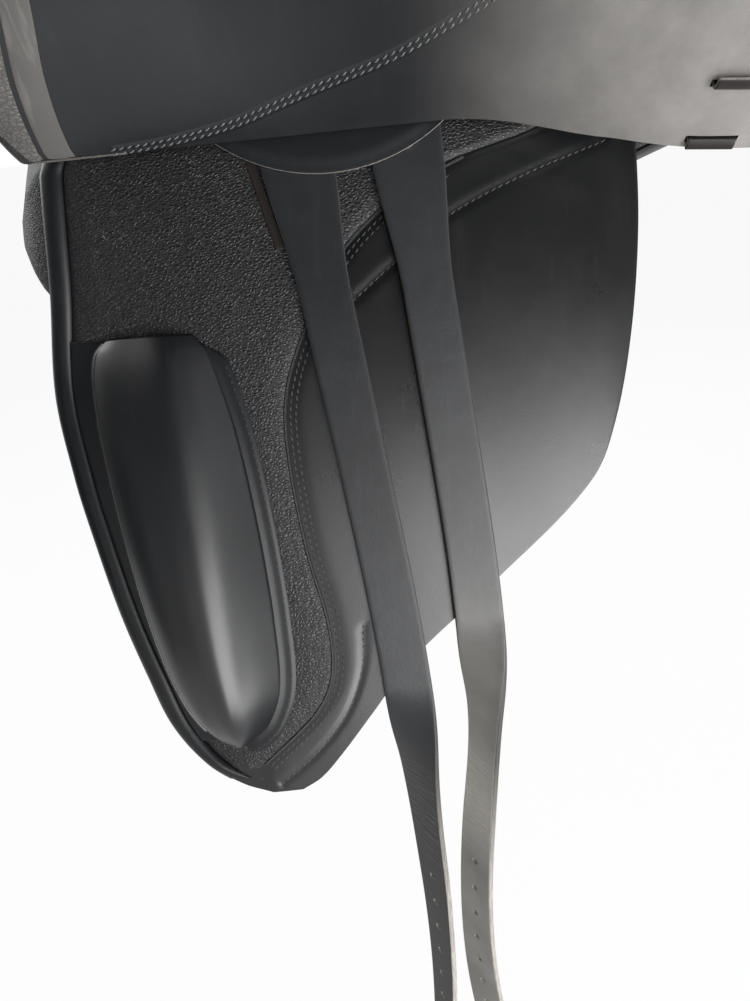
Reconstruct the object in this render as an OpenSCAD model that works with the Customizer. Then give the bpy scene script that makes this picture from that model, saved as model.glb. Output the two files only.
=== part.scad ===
// Dressage saddle with its near flap lifted.
// X runs to the near (left) side, -Y to the front, +Z up. The origin lies on the centre line at the
// level where the panels bear, under the deepest part of the seat.

/* [Seat] */
// Length of the seat from the front of the pommel to the back of the cantle
seat_len = 470; // [440:1:500]
// Width of the seat at its widest
seat_w = 300; // [280:1:320]
// Height of the lowest point of the seat
seat_low = 102; // [96:1:112]
// Height of the pommel
pommel_h = 165; // [155:1:178]
// Height of the cantle
cantle_h = 181; // [170:1:195]
// How far the front of the pommel lies ahead of the origin
pommel_y = 222; // [210:1:234]
// Thickness of the foam in the seat
foam_t = 18; // [14:0.5:22]
// Thickness of the seat leather
cover_t = 2.4; // [1.6:0.1:3]
// Diameter of the welt round the seat
welt_d = 6; // [4:0.5:8]
// Height of the pommel facing at the front
pommel_face_h = 30; // [20:1:36]
// Height of the cantle facing at the back
cantle_face_h = 44; // [36:1:48]

/* [Tree] */
// Thickness of the laminated tree
tree_t = 9; // [7:0.5:11]
// Fall of the tree rails outside the seat, for each millimetre out
rail_fall = 0.85; // [0.75:0.01:0.95]
// Thickness of the steel gullet plate
gullet_t = 3; // [2:0.5:4]
// Length of the gullet plate along the saddle
gullet_len = 34; // [26:1:40]
// Width of each spring strip under the rails
spring_w = 14; // [10:1:18]
// Thickness of each spring strip
spring_t = 1.6; // [1:0.1:2]
// Width of the straining web
web_w = 32; // [24:1:36]
// Diameter of the flush rivets in the tree
tree_rivet_d = 5; // [4:0.5:6]

/* [Panels] */
// Width of the channel between the panels
channel_w = 66; // [56:1:76]
// Swell of each panel's bearing face
panel_crown = 7; // [3:0.5:10]
// Thickness of the panel leather
panel_skin_t = 2.2; // [1.5:0.1:3]
// Thickness of the leather that bridges the panels
bridge_t = 2; // [1.5:0.1:3]

/* [Sides] */
// Lean of the flaps from upright
lean = 20; // [16:0.5:24]
// Distance of the fold from the centre line
fold_x = 112; // [106:1:120]
// Height of the fold
fold_z = 40; // [34:1:46]
// Place of the girth straps' middle along the saddle
strap_mid_y = -55; // [-65:1:-45]

/* [Sweat flap] */
// Width of the sweat flap
sweat_w = 344; // [330:1:356]
// Length of the sweat flap below the fold
sweat_len = 364; // [350:1:380]
// Thickness of the sweat flap
sweat_t = 3.5; // [2.5:0.1:4]
// Width of the rolled band along its front edge
band_w = 12; // [9:0.5:15]
// Thickness of the grained patch
patch_t = 1.5; // [1:0.1:1.8]

/* [Flap] */
// Width of the flap along its root
flap_w = 430; // [415:1:445]
// Length of the flap below its hinge
flap_len = 396; // [380:1:410]
// Thickness of the flap leather
flap_t = 3.5; // [2.5:0.1:4]
// Angle that the near flap is lifted
lift = 115; // [90:1:122]
// Thickness of the grained facing on the flap
facing_t = 1.4; // [1:0.1:2]
// Width of the keeper on the flap
keeper_w = 24; // [18:1:28]
// Length of the loop that the keeper makes
keeper_len = 34; // [28:1:36]

/* [Knee block] */
// Length of the knee block
block_len = 236; // [210:1:250]
// Width of the knee block
block_w = 84; // [70:1:90]
// Height of the knee block at its crest
block_h = 33; // [22:1:35]
// Distance of the block's top below the fold
block_t = 92; // [84:1:100]
// Distance of the block's front behind the front of the sweat flap
block_in = 28; // [24:1:34]

/* [Girth straps] */
// Width of each girth strap
strap_w = 28; // [24:1:30]
// Thickness of each girth strap
strap_t = 4; // [3:0.1:4.2]
// Length of each girth strap from its rivet
strap_len = 671; // [626:1:706]
// Distance between the two straps at their heads
strap_gap = 59; // [56:1:66]
// Diameter of the buckle holes
hole_d = 5; // [4:0.5:6]
// Distance between buckle holes
hole_pitch = 26; // [22:1:28]
// Number of buckle holes
hole_count = 8; // [5:1:9]
// Diameter of the rivet at each strap head
strap_rivet_d = 6; // [5:0.5:8]
// Thickness of the strap guard
guard_t = 2; // [1.4:0.1:2.2]

/* [Skirt] */
// Thickness of the skirt leather
skirt_t = 3; // [2:0.1:3.5]
// Swell of the skirt over the stirrup bar
skirt_swell = 13; // [11:0.5:15]

/* [Stirrup bar] */
// Length of the stirrup bar
bar_len = 78; // [70:1:84]
// Height of the bar's middle above its plate
bar_rise = 15; // [13:0.5:16]
// Depth of the bar's section
bar_d = 8; // [6:0.5:9]
// Thickness of the bar's plate
plate_t = 4; // [3:0.5:5]
// Diameter of the catch pin
pin_d = 3; // [2:0.5:3.5]

/* [Dee rings] */
// Inside width of each dee ring
dee_w = 22; // [18:1:26]
// Wire diameter of each dee ring
dee_wire = 3.6; // [3:0.2:4.4]

/* [Hidden] */
$fn = 32;
// Running gap between pieces and gap between layers of leather
gap = 0.3;
layer = 0.45;
// Room under curved leather and foam, where the facets of two pieces differ
ease_gap = 1.4;
tree_gap = 2.4;
// How far the sweat flap's front lies ahead of the straps' middle, and the flap's front ahead of that
sweat_ahead = 183;
flap_ahead = 14;
// Swing of the off straps from the place of the near ones
off_swing = -5;
leather = "#2b2d30";
leather_soft = "#35383c";
leather_worn = "#54565a";
steel = "#b9bcc0";
wood = "#a98458";
foam = "#d8cfae";

// Curve helpers
function mix(a, b, f) = a + (b - a) * f;
function ease(v) = let (c = min(1, max(0, v))) c * c * (3 - 2 * c);
function knot(p, i) = p[min(len(p) - 1, max(0, i))];
function span(p, v, i = 0) = i >= len(p) - 2 || v < p[i + 1][0] ? i : span(p, v, i + 1);
function tilt(p, i, k) = let (a = knot(p, i - 1), b = knot(p, i + 1)) (b[k] - a[k]) / (b[0] - a[0]);
function along(p, v, k) = let (
    i = span(p, v),
    h = p[i + 1][0] - p[i][0],
    f = min(1, max(0, (v - p[i][0]) / h)),
    g = 1 - f)
    g * g * (1 + 2 * f) * p[i][k] + f * f * (1 + 2 * g) * p[i + 1][k]
    + f * g * g * h * tilt(p, i, k) - f * f * g * h * tilt(p, i + 1, k);
function unit(v) = v / norm(v);

// Closed sheet between two grids of points, where rows run down and columns run right seen from outside
module slab(outer, inner) {
    n = len(outer);
    m = len(outer[0]);
    back = n * m;
    rim = concat(
        [for (j = [0:m - 2]) [j, j + 1]],
        [for (i = [0:n - 2]) [i * m + m - 1, (i + 1) * m + m - 1]],
        [for (j = [0:m - 2]) [(n - 1) * m + j + 1, (n - 1) * m + j]],
        [for (i = [0:n - 2]) [(i + 1) * m, i * m]]);
    polyhedron(
        points = concat([for (r = outer) each r], [for (r = inner) each r]),
        faces = concat(
            [for (i = [0:n - 2], j = [0:m - 2]) let (a = i * m + j) each
                [[a, a + 1, a + m + 1], [a, a + m + 1, a + m]]],
            [for (i = [0:n - 2], j = [0:m - 2]) let (a = back + i * m + j) each
                [[a, a + m + 1, a + 1], [a, a + m, a + m + 1]]],
            [for (e = rim) each [[e[1], e[0], back + e[0]], [e[1], back + e[0], back + e[1]]]]));
}

function middle(ring) = [for (k = [0:2]) [for (p = ring) p[k]] * [for (p = ring) 1] / len(ring)];

// Solid through a row of rings, capped at its ends or closed on itself
module loft(rings, loop = false) {
    n = len(rings);
    m = len(rings[0]);
    last = loop ? n - 1 : n - 2;
    ends = loop ? [] : [middle(rings[0]), middle(rings[n - 1])];
    polyhedron(
        points = concat([for (r = rings) each r], ends),
        faces = concat(
            [for (i = [0:last], k = [0:m - 1]) let (
                a = i * m + k,
                b = i * m + (k + 1) % m,
                c = ((i + 1) % n) * m + (k + 1) % m,
                d = ((i + 1) % n) * m + k) each [[a, b, c], [a, c, d]]],
            loop ? [] : [for (k = [0:m - 1]) [n * m, (k + 1) % m, k]],
            loop ? [] : [for (k = [0:m - 1]) let (z = (n - 1) * m) [n * m + 1, z + k, z + (k + 1) % m]]));
}

module off_side() {
    mirror([1, 0, 0]) children();
}

// Seat surface: share of length, pommel rise, cantle rise, share of half width, fall to the edge
seat_rows = [
    [0, 0.76, 0, 0.03, 6],
    [0.015, 0.89, 0, 0.2, 20],
    [0.05, 1, 0, 0.31, 38],
    [0.12, 0.86, 0, 0.35, 38],
    [0.22, 0.56, 0, 0.375, 34],
    [0.39, 0.11, 0, 0.48, 20],
    [0.56, 0, 0, 0.77, 15],
    [0.72, 0, 0.2, 0.99, 15],
    [0.86, 0, 0.6, 0.95, 12],
    [0.95, 0, 0.93, 0.66, 8],
    [0.985, 0, 1, 0.32, 5],
    [1, 0, 0.99, 0.04, 3]];
seat_dome = 2.2;
function seat_y(f) = f * seat_len - pommel_y;
function seat_f(y) = min(0.98, max(0.02, (y + pommel_y) / seat_len));
function seat_half(f) = seat_w / 2 * along(seat_rows, f, 3);
function seat_z(u, f) = seat_low + along(seat_rows, f, 1) * (pommel_h - seat_low)
    + along(seat_rows, f, 2) * (cantle_h - seat_low) - along(seat_rows, f, 4) * pow(abs(u), seat_dome);
function seat_pt(u, f, down) = [u * seat_half(f), seat_y(f), seat_z(u, f) - down];
function seat_grid(f0, f1, rows, cols, edge, down) = [for (i = [0:rows]) [for (j = [0:cols])
    seat_pt(edge * (1 - 2 * j / cols), mix(f0, f1, (1 - cos(180 * i / rows)) / 2), down)]];

// Edge of the seat, once round from the front by the near side, with steps out and down
function edge_f(g) = (1 - cos(360 * g)) / 2;
function edge_at(g) = seat_pt(sin(360 * g) >= 0 ? 1 : -1, edge_f(g), 0);
function edge_out(g) = let (d = edge_at(g + 0.006) - edge_at(g - 0.006)) unit([d.y, -d.x, 0]);
function edge_pt(g, out, down) = edge_at(g) + out * edge_out(g) - [0, 0, down];

// Underside of the foam, carried on out past the seat along the tree rails
foam_bottom = cover_t + foam_t + 2 * ease_gap;
function under(f, x) = let (h = seat_half(f)) seat_z(min(1, abs(x) / h), f) - foam_bottom
    - rail_fall * max(0, abs(x) - h);
function under_pt(f, x, down) = [x, seat_y(f), under(f, x) - down];

// Side of the saddle: y along it, t down from the fold, off out from the sweat flap
// It bows inwards ahead of the straps, and behind them by the steps in rear_bow
flat_half = 72;
front_bow = 0.0012;
rear_bow = [[50, 0], [95, 2.6], [130, 8.3], [156, 14.6], [180, 19], [205, 21.5], [235, 22.5]];
top_bend = 0.009;
function side_bow(y, t) = y < strap_mid_y
    ? front_bow * pow(max(0, strap_mid_y - y - flat_half), 2) * mix(0.35, 1, ease(t / 120))
    : along(rear_bow, y - strap_mid_y, 1);
function side_pt(y, t, off) = [
    fold_x + sin(lean) * t + cos(lean) * off - top_bend * pow(min(0, t), 2) - side_bow(y, t),
    y,
    fold_z - cos(lean) * t + sin(lean) * off];
module on_side(y, t, off) {
    translate(side_pt(y, t, off)) rotate([0, -lean, 0]) rotate([90, 0, 90]) children();
}

// Layers on the side, as steps out from the sweat flap
patch_off = layer;
web_off = patch_off + patch_t + layer;
web_t = 1.3;
strap_off = web_off + web_t + gap;
rivet_head = 1.2;
guard_off = strap_off + strap_t + rivet_head + 2 * gap;
flap_base = guard_off + guard_t + 1.5;

// Sweat flap edges: share of length, then shares of width at the front and the rear
sweat_front = strap_mid_y - sweat_ahead;
tuck = 30;
sweat_rows = [
    [0, 0.04, 1],
    [0.165, 0.024, 0.995],
    [0.33, 0, 0.97],
    [0.467, 0.012, 0.929],
    [0.55, 0.027, 0.879],
    [0.687, 0.058, 0.699],
    [0.797, 0.093, 0.552],
    [0.88, 0.125, 0.474],
    [0.948, 0.18, 0.41],
    [0.984, 0.238, 0.37],
    [1, 0.285, 0.337]];
function tucked(y, t) = t < 0 ? t * mix(1, 0.3, ease((y + 20) / 80)) : t;
function sweat_edge(t, k) = sweat_front + sweat_w * along(sweat_rows, max(0, t) / sweat_len, k)
    + (k == 1 ? 1 : -1) * 0.4 * max(0, -t);
patch_rows = [
    [-0.06, 0.887],
    [0, 0.84],
    [0.044, 0.671],
    [0.143, 0.509],
    [0.277, 0.419],
    [0.365, 0.383],
    [0.464, 0.377],
    [0.607, 0.389],
    [0.723, 0.41],
    [0.81, 0.407],
    [0.868, 0.375],
    [0.934, 0.294],
    [0.96, 0.258]];
function patch_edge(t) = sweat_front + sweat_w * along(patch_rows, t / sweat_len, 1);

// Flap edges, and how far the closed flap stands off the sweat flap
flap_front = sweat_front - flap_ahead;
hinge_t = -4;
flap_rows = [
    [0, 0.037, 1],
    [0.06, 0.03, 0.995],
    [0.12, 0.022, 0.975],
    [0.2, 0.012, 0.94],
    [0.319, 0, 0.885],
    [0.459, 0.012, 0.842],
    [0.548, 0.028, 0.79],
    [0.676, 0.053, 0.656],
    [0.778, 0.081, 0.54],
    [0.867, 0.116, 0.458],
    [0.944, 0.167, 0.39],
    [0.985, 0.221, 0.344],
    [1, 0.26, 0.307]];
function flap_edge(t, k) = flap_front + flap_w * along(flap_rows, (t - hinge_t) / flap_len, k);
block_front = sweat_front + block_in;
block_off = patch_off + patch_t + layer;
flap_swell = block_off + block_h + 3 - flap_base;
flap_droop = 11;
function droop(y, t) = flap_droop * ease((y - strap_mid_y - 55) / 75) * (1 - 0.6 * ease((t - 90) / 120));
function flap_stand(y, t) = flap_base
    + flap_swell * ease((t - hinge_t) / (block_t + 8 - hinge_t))
        * ease((block_front + block_w + 100 - y) / 100)
    - droop(y, t);
function straight(y, t) = y < strap_mid_y ? side_bow(y, t) * (1 - ease((t - hinge_t) / 60)) : 0;
function flap_pt(y, t, off) = side_pt(y, max(t, hinge_t), flap_stand(y, t) + off) + [straight(y, t), 0, 0];
hinge = side_pt(strap_mid_y, hinge_t, flap_base + flap_t);
module lifted() {
    translate(hinge) rotate([0, -lift, 0]) translate(-hinge) children();
}

// Grid down and along a side piece, eased so that its rows close up at both ends
function down_t(t0, t1, i, rows) = mix(t0, t1, mix(i / rows, (1 - cos(180 * i / rows)) / 2, 0.6));

// Tree: a ring of planks, given as inner and outer points on the underside of the seat
tree_rows = [
    [0.13, 0, 0.038, 0],
    [0.135, 18, 0.04, 20],
    [0.155, 32, 0.06, 42],
    [0.2, 38, 0.12, 72],
    [0.27, 40, 0.22, 84],
    [0.36, 42, 0.33, 86],
    [0.46, 48, 0.46, 88],
    [0.58, 62, 0.6, 104],
    [0.7, 84, 0.73, 128],
    [0.8, 82, 0.86, 122],
    [0.865, 52, 0.945, 76],
    [0.885, 20, 0.97, 26],
    [0.89, 0, 0.972, 0]];
tree_n = len(tree_rows) - 1;
tree_list = [for (i = [0:tree_n]) concat([i], tree_rows[i])];
function tree_at(i, w, k) = mix(along(tree_list, i / 2, k), along(tree_list, i / 2, k + 2), w);
function tree_ring(i, s) = concat(
    [for (w = [0, 0.5, 1]) under_pt(tree_at(i, w, 1), s * tree_at(i, w, 2), tree_t)],
    [for (w = [1, 0.5, 0]) under_pt(tree_at(i, w, 1), s * tree_at(i, w, 2), 0)]);
rivet_spots = [[0.11, 26], [0.13, 46]];
module tree_bores(d) {
    for (s = [-1, 1], r = rivet_spots)
        translate(under_pt(r[0], s * r[1], tree_t + gullet_t + tree_gap + 12)) cylinder(d = d, h = 40);
}
module saddle_tree() {
    color(wood) difference() {
        loft(concat(
            [for (i = [0:2 * tree_n]) tree_ring(i, 1)],
            [for (i = [2 * tree_n - 1:-1:1]) tree_ring(i, -1)]), loop = true);
        tree_bores(tree_rivet_d);
        for (s = [0, 1]) mirror([s, 0, 0]) on_bar() {
            translate([-plate_l / 2 - gap, -plate_w / 2 - gap, -gap])
                cube([plate_l + 2 * gap, plate_w + 2 * gap, 60]);
            bar_rivet_spots() translate([0, 0, -rivet_deep]) cylinder(d = bar_rivet_d, h = 40);
        }
    }
}
gullet_half = 62;
gullet_in = 26;
function gullet_f(i) = (gullet_in + gullet_len * i / 3) / seat_len;
module gullet_plate() {
    color(steel) difference() {
        slab(
            [for (i = [0:3]) [for (j = [0:14])
                under_pt(gullet_f(i), gullet_half * (1 - j / 7), tree_t + tree_gap)]],
            [for (i = [0:3]) [for (j = [0:14])
                under_pt(gullet_f(i), gullet_half * (1 - j / 7), tree_t + tree_gap + gullet_t)]]);
        tree_bores(tree_rivet_d);
    }
}
spring_x = 56;
function spring_f(i) = mix(0.24, 0.62, i / 8);
module tree_springs() {
    color(steel) for (s = [0, 1]) mirror([s, 0, 0]) slab(
        [for (i = [0:8]) [for (x = [0.5, -0.5])
            under_pt(spring_f(i), spring_x + x * spring_w, tree_t + tree_gap)]],
        [for (i = [0:8]) [for (x = [0.5, -0.5])
            under_pt(spring_f(i), spring_x + x * spring_w, tree_t + tree_gap + spring_t)]]);
}
module tree_rivets() {
    color(steel) for (s = [-1, 1], r = rivet_spots)
        translate(under_pt(r[0], s * r[1], tree_t + tree_gap + gullet_t - 1))
            cylinder(d = tree_rivet_d - 2 * gap / 3, h = tree_t + tree_gap + gullet_t - 4);
}
function web_f(i) = mix(tree_rows[1][0] + 2 * gap / seat_len,
    tree_rows[11][0] - 2 * gap / seat_len, i / 12);
module straining_web() {
    color("#c9bd98") slab(
        [for (i = [0:12]) [for (j = [0:2]) under_pt(web_f(i), web_w / 2 * (1 - j), 2)]],
        [for (i = [0:12]) [for (j = [0:2]) under_pt(web_f(i), web_w / 2 * (1 - j), 4)]]);
}

// Seat
module seat_foam() {
    color(foam) slab(
        seat_grid(0.03, 0.955, 18, 8, 0.85, cover_t + ease_gap),
        seat_grid(0.03, 0.955, 18, 8, 0.85, cover_t + ease_gap + foam_t));
}
module seat_cover() {
    color(leather_soft) slab(
        seat_grid(0, 1, 24, 10, 1, 0),
        seat_grid(0, 1, 24, 10, 1, cover_t));
}
welt_n = 54;
module seat_welt() {
    color(leather) loft([for (i = [0:welt_n - 1]) [for (k = [0:5]) edge_pt((i + 0.5) / welt_n,
        welt_d / 2 * (1 + cos(60 * k)) + layer, cover_t - welt_d / 2 * sin(60 * k))]], loop = true);
}
module edge_wall(g0, g1, n, h0, h1) {
    function fall(j, g) = cover_t + ease_gap
        + j / 2 * mix(h0, h1, ease(abs(g - (g0 + g1) / 2) * 2 / (g1 - g0)));
    function g(i) = mix(g0, g1, i / n);
    slab(
        [for (j = [0:2]) [for (i = [0:n]) edge_pt(g(i), -1, fall(j, g(i)))]],
        [for (j = [0:2]) [for (i = [0:n]) edge_pt(g(i), -1 - cover_t, fall(j, g(i)))]]);
}
module pommel_facing() {
    color(leather_soft) edge_wall(-0.14, 0.14, 22, pommel_face_h, 5);
}
module cantle_facing() {
    color(leather_soft) edge_wall(0.31, 0.69, 26, cantle_face_h, 16);
}

// Panels: place, inner step, tip across, tip height, inner edge height, wall across, drop under the tree
panel_rows = [
    [-256, 20, 88, -14, 22, 72, 52],
    [-246, 11, 98, -28, 30, 78, 32],
    [-222, 4, 106, -40, 34, 81, 16],
    [-150, 0, 114, -44, 20, 84, 9],
    [-60, 0, 120, -32, 4, 82, 5.5],
    [40, 0, 116, -12, 0, 82, 5.5],
    [100, 0, 97, 16, 10, 81, 5.5],
    [140, 0, 86, 28, 24, 78, 5.5],
    [180, 0, 84, 38, 40, 78, 5.5],
    [215, 3, 82, 54, 56, 76, 12],
    [240, 12, 70, 70, 68, 62, 24]];
panel_front = panel_rows[0][0];
panel_back = panel_rows[len(panel_rows) - 1][0];
function panel_y(i, n) = mix(panel_front, panel_back, mix(i / n, (1 - cos(180 * i / n)) / 2, 0.7));
function panel_top(y, x) = under(seat_f(y), x) - tree_t - along(panel_rows, y, 6);
function panel_ring(y) = let (
    xi = channel_w / 2 + along(panel_rows, y, 1),
    xt = fold_x - 112 + along(panel_rows, y, 2),
    zt = along(panel_rows, y, 3),
    zi = along(panel_rows, y, 4),
    xw = along(panel_rows, y, 5),
    zw = panel_top(y, xw)) concat(
    [for (u = [0, 0.25, 0.5, 0.75]) [mix(xi, xt, u), y, mix(zi, zt, u) - panel_crown * 4 * u * (1 - u)]],
    [[xt, y, zt], [mix(xt, xw, 0.35) + 2, y, mix(zt, zw, 0.35)],
        [mix(xt, xw, 0.75) + 1, y, mix(zt, zw, 0.75)], [xw, y, zw]],
    [for (u = [0.45, 0.8]) let (x = mix(xw, xi, u)) [x, y, panel_top(y, x)]],
    [[xi, y, panel_top(y, xi + 4) - 4]]);
function shrink(ring, inset, share) = let (
    c = middle(ring),
    d = share * min([for (p = ring) norm(p - c)])) [for (p = ring) c + (p - c) * share * (1 - inset / d)];
function panel_end(i) = sqrt(1 - pow(max(0, 1 - (i + 0.4) / 3.4), 2));
panel_n = 22;
function panel_rings(inset) = [for (i = [0:panel_n]) let (y = panel_y(i, panel_n))
    let (r = shrink(panel_ring(y), inset, panel_end(min(i, panel_n - i))))
        [for (p = r) [p.x, mix(y, 0, inset / 220), p.z]]];
module panel_cover() {
    color(leather_soft) difference() {
        loft(panel_rings(0));
        loft(panel_rings(panel_skin_t));
    }
}
module panel_flock() {
    color(foam) loft(panel_rings(panel_skin_t + gap));
}
function bridge_y(i) = mix(-148, 190, i / 10);
function bridge_pt(i, j, down) = let (y = bridge_y(i)) [(channel_w / 2 - 1) * (1 - j), y,
    panel_top(y, channel_w / 2 + 4) - 8 - down];
module panel_bridge() {
    color(leather_soft) slab(
        [for (i = [0:10]) [for (j = [0:2]) bridge_pt(i, j, 0)]],
        [for (i = [0:10]) [for (j = [0:2]) bridge_pt(i, j, bridge_t)]]);
}

// Sweat flap and what is sewn on it
module sweat_flap() {
    n = 22;
    m = 9;
    function pt(i, j, off) = let (
        t = down_t(-tuck, sweat_len, i, n),
        y = mix(sweat_edge(t, 1), sweat_edge(t, 2), j / m))
        side_pt(y, tucked(y, t), off);
    color(leather) slab(
        [for (i = [0:n]) [for (j = [0:m]) pt(i, j, 0)]],
        [for (i = [0:n]) [for (j = [0:m]) pt(i, j, -sweat_t)]]);
}
roll_h = 3.4;
module edge_roll() {
    n = 24;
    function roll_t(i) = mix(-tuck, 0.97 * sweat_len, i / n);
    color(leather_worn) loft([for (i = [0:n]) let (t = roll_t(i), y = sweat_edge(t, 1))
        [for (p = [[0, layer], [0.12, 0.7 * roll_h], [0.5, roll_h], [0.88, 0.7 * roll_h], [1, layer]])
            side_pt(y + band_w * p.x, t, p.y)]]);
}
// The patch is pared thinner behind the straps, where it wraps over the rear bow
patch_pare = 0.7;
module grain_patch() {
    n = 22;
    m = 5;
    function pared(y) = patch_pare * ease((y - strap_mid_y - 30) / 40);
    function pt(i, j, outer) = let (
        t = down_t(-tuck + 8, 0.955 * sweat_len, i, n),
        a = sweat_edge(t, 1) + band_w + 1.6,
        y = mix(a, max(a + 2, patch_edge(t)), j / m))
        side_pt(y, tucked(y, t), patch_off + (outer ? patch_t : pared(y)));
    color(leather_soft) slab(
        [for (i = [0:n]) [for (j = [0:m]) pt(i, j, true)]],
        [for (i = [0:n]) [for (j = [0:m]) pt(i, j, false)]]);
}

// Knee block: edges as shares of its width, and its height along and across
block_rows = [
    [0, 0.12, 0.69],
    [0.034, 0.035, 0.76],
    [0.1, 0, 0.82],
    [0.246, 0.012, 0.905],
    [0.5, 0.095, 0.976],
    [0.733, 0.214, 1],
    [0.88, 0.345, 0.976],
    [0.966, 0.488, 0.87],
    [1, 0.595, 0.76]];
block_rise = [[0, 0.3], [0.05, 0.5], [0.15, 0.66], [0.35, 0.84], [0.6, 1], [0.85, 1], [0.95, 0.8],
    [1, 0.4]];
block_cross = [[0, 0.5], [0.05, 0.72], [0.3, 0.86], [0.56, 1], [0.8, 0.62], [1, 0.09]];
block_skin = 2.2;
function block_pt(f, u, sink) = let (h = block_h * along(block_rise, f, 1) * along(block_cross, u, 1))
    side_pt(block_front + block_w * mix(along(block_rows, f, 1), along(block_rows, f, 2), u),
        block_t + block_len * f, block_off + max(0, h - sink));
function block_f(i, n) = mix(i / n, (1 - cos(180 * i / n)) / 2, 0.7);
module knee_block() {
    n = 14;
    m = 8;
    color(leather) slab(
        [for (i = [0:n]) [for (j = [0:m]) block_pt(block_f(i, n), j / m, 0)]],
        [for (i = [0:n]) [for (j = [0:m]) block_pt(block_f(i, n), j / m, block_skin)]]);
}
module block_core() {
    n = 10;
    m = 5;
    function f(i) = mix(0.05, 0.94, i / n);
    function u(j) = mix(0.1, 0.86, j / m);
    color(foam) slab(
        [for (i = [0:n]) [for (j = [0:m]) block_pt(f(i), u(j), block_skin + 1.7 * ease_gap)]],
        [for (i = [0:n]) [for (j = [0:m]) block_pt(f(i), u(j), block_h)]]);
}

// Girth straps, their webs, rivets and guard
head_y = [strap_mid_y - strap_gap / 2, strap_mid_y + strap_gap / 2];
rivet_t = 2;
// Where each strap leaves the sweat flap, and its sway and twist by the distance below its rivet
// Order: near front, near rear, off front, off rear
leave = [284, 254, 368, 328];
strap_sway = [
    [[0, 6], [224, 6], [344, 1.9], [444, 2.1], [671, -4.5]],
    [[0, 3.8], [194, 3.8], [314, -1.2], [414, -4.9], [671, 9.5]],
    [[0, 5.5], [368, 5.5], [448, 0]],
    [[0, 3.6], [328, 3.6], [408, 0]]];
strap_twist = [
    [[306, 0], [364, 45], [464, 57], [671, 70]],
    [[268, 0], [334, 58], [434, 57], [671, 38]],
    [[368, 0], [671, 58]],
    [[328, 0], [671, 26]]];
strap_hang = 19;
module girth_webs() {
    color("#4a4740") for (y = head_y) difference() {
        slab(
            [for (i = [0:6]) [for (x = [-14, 14]) side_pt(y + x, mix(-32, 18, i / 6), web_off + web_t)]],
            [for (i = [0:6]) [for (x = [-14, 14]) side_pt(y + x, mix(-32, 18, i / 6), web_off)]]);
        on_side(y, rivet_t, 0) cylinder(d = strap_rivet_d + 2 * gap / 3, h = 20);
    }
}
module strap_rivets() {
    color(steel) for (s = [0, 1], y = head_y) mirror([s, 0, 0]) on_side(y, rivet_t, web_off + gap / 3) {
        cylinder(d = strap_rivet_d, h = web_t + strap_t + 2 * gap);
        translate([0, 0, web_t + strap_t + 5 * gap / 3]) cylinder(d = 2 * strap_rivet_d, h = rivet_head);
    }
}
guard_half = 68;
guard_top = 10;
guard_low = 17;
module strap_guard() {
    r = (guard_half * guard_half + pow(guard_top + guard_low, 2)) / (2 * (guard_top + guard_low));
    color(leather) on_side(strap_mid_y - 10, 0, guard_off) linear_extrude(guard_t) intersection() {
        translate([0, r - guard_low]) circle(r, $fn = 96);
        translate([-guard_half, -guard_low]) square([2 * guard_half, guard_top + guard_low]);
    }
}
strap_n = 34;
strap_head = 14;
bend_len = 80;
function strap_dir(k, s) = let (
    a = strap_hang * ease((s - leave[k]) / bend_len),
    b = along(strap_sway[k], s, 1))
    [sin(b), -cos(b) * cos(a), -cos(b) * sin(a)];
function strap_step(i) = -strap_head + (strap_len + strap_head) * i / strap_n;
function strap_path(k) = [for (
    i = 0, p = -strap_head * strap_dir(k, 0);
    i <= strap_n;
    p = p + (strap_step(i + 1) - strap_step(i)) * strap_dir(k, (strap_step(i) + strap_step(i + 1)) / 2),
    i = i + 1) p];
function strap_pos(path, s) = let (
    v = (s + strap_head) * strap_n / (strap_len + strap_head),
    i = min(strap_n - 1, floor(v))) mix(path[i], path[i + 1], v - i);
function strap_frame(k, s) = let (
    d = strap_dir(k, s),
    q = unit(cross([1, 0, 0], d)),
    n = q.z < 0 ? -q : q,
    w = unit(cross(n, d)),
    a = along(strap_twist[k], s, 1))
    [n * cos(a) - w * sin(a), w * cos(a) + n * sin(a)];
function strap_half(s) = strap_w / 2 * (1 + 0.42 * (1 - ease(s / 80)))
    * min(1, 0.45 + 0.55 * sqrt(max(0, strap_len - s) / 18));
function strap_sec(p, k, s, h) = let (fr = strap_frame(k, s), w = strap_half(s) * fr[1], n = fr[0] * h)
    [p - n - w, p + n - w, p + n + w, p - n + w];
tip_margin = 30;
module girth_strap(k, swing = 0) {
    path = strap_path(k);
    color(leather_worn) on_side(head_y[k % 2], rivet_t, strap_off + strap_t / 2)
        rotate([0, 0, swing]) difference() {
        loft([for (i = [0:strap_n]) strap_sec(path[i], k, strap_step(i), strap_t / 2)]);
        cylinder(d = strap_rivet_d + 2 * gap, h = 20, center = true);
        for (i = [0:hole_count - 1])
            let (s = strap_len - tip_margin - i * hole_pitch, n = strap_frame(k, s)[0])
            translate(strap_pos(path, s)) rotate([0, acos(n.z), atan2(n.y, n.x)])
                cylinder(d = hole_d, h = 20, center = true);
    }
}

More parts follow.
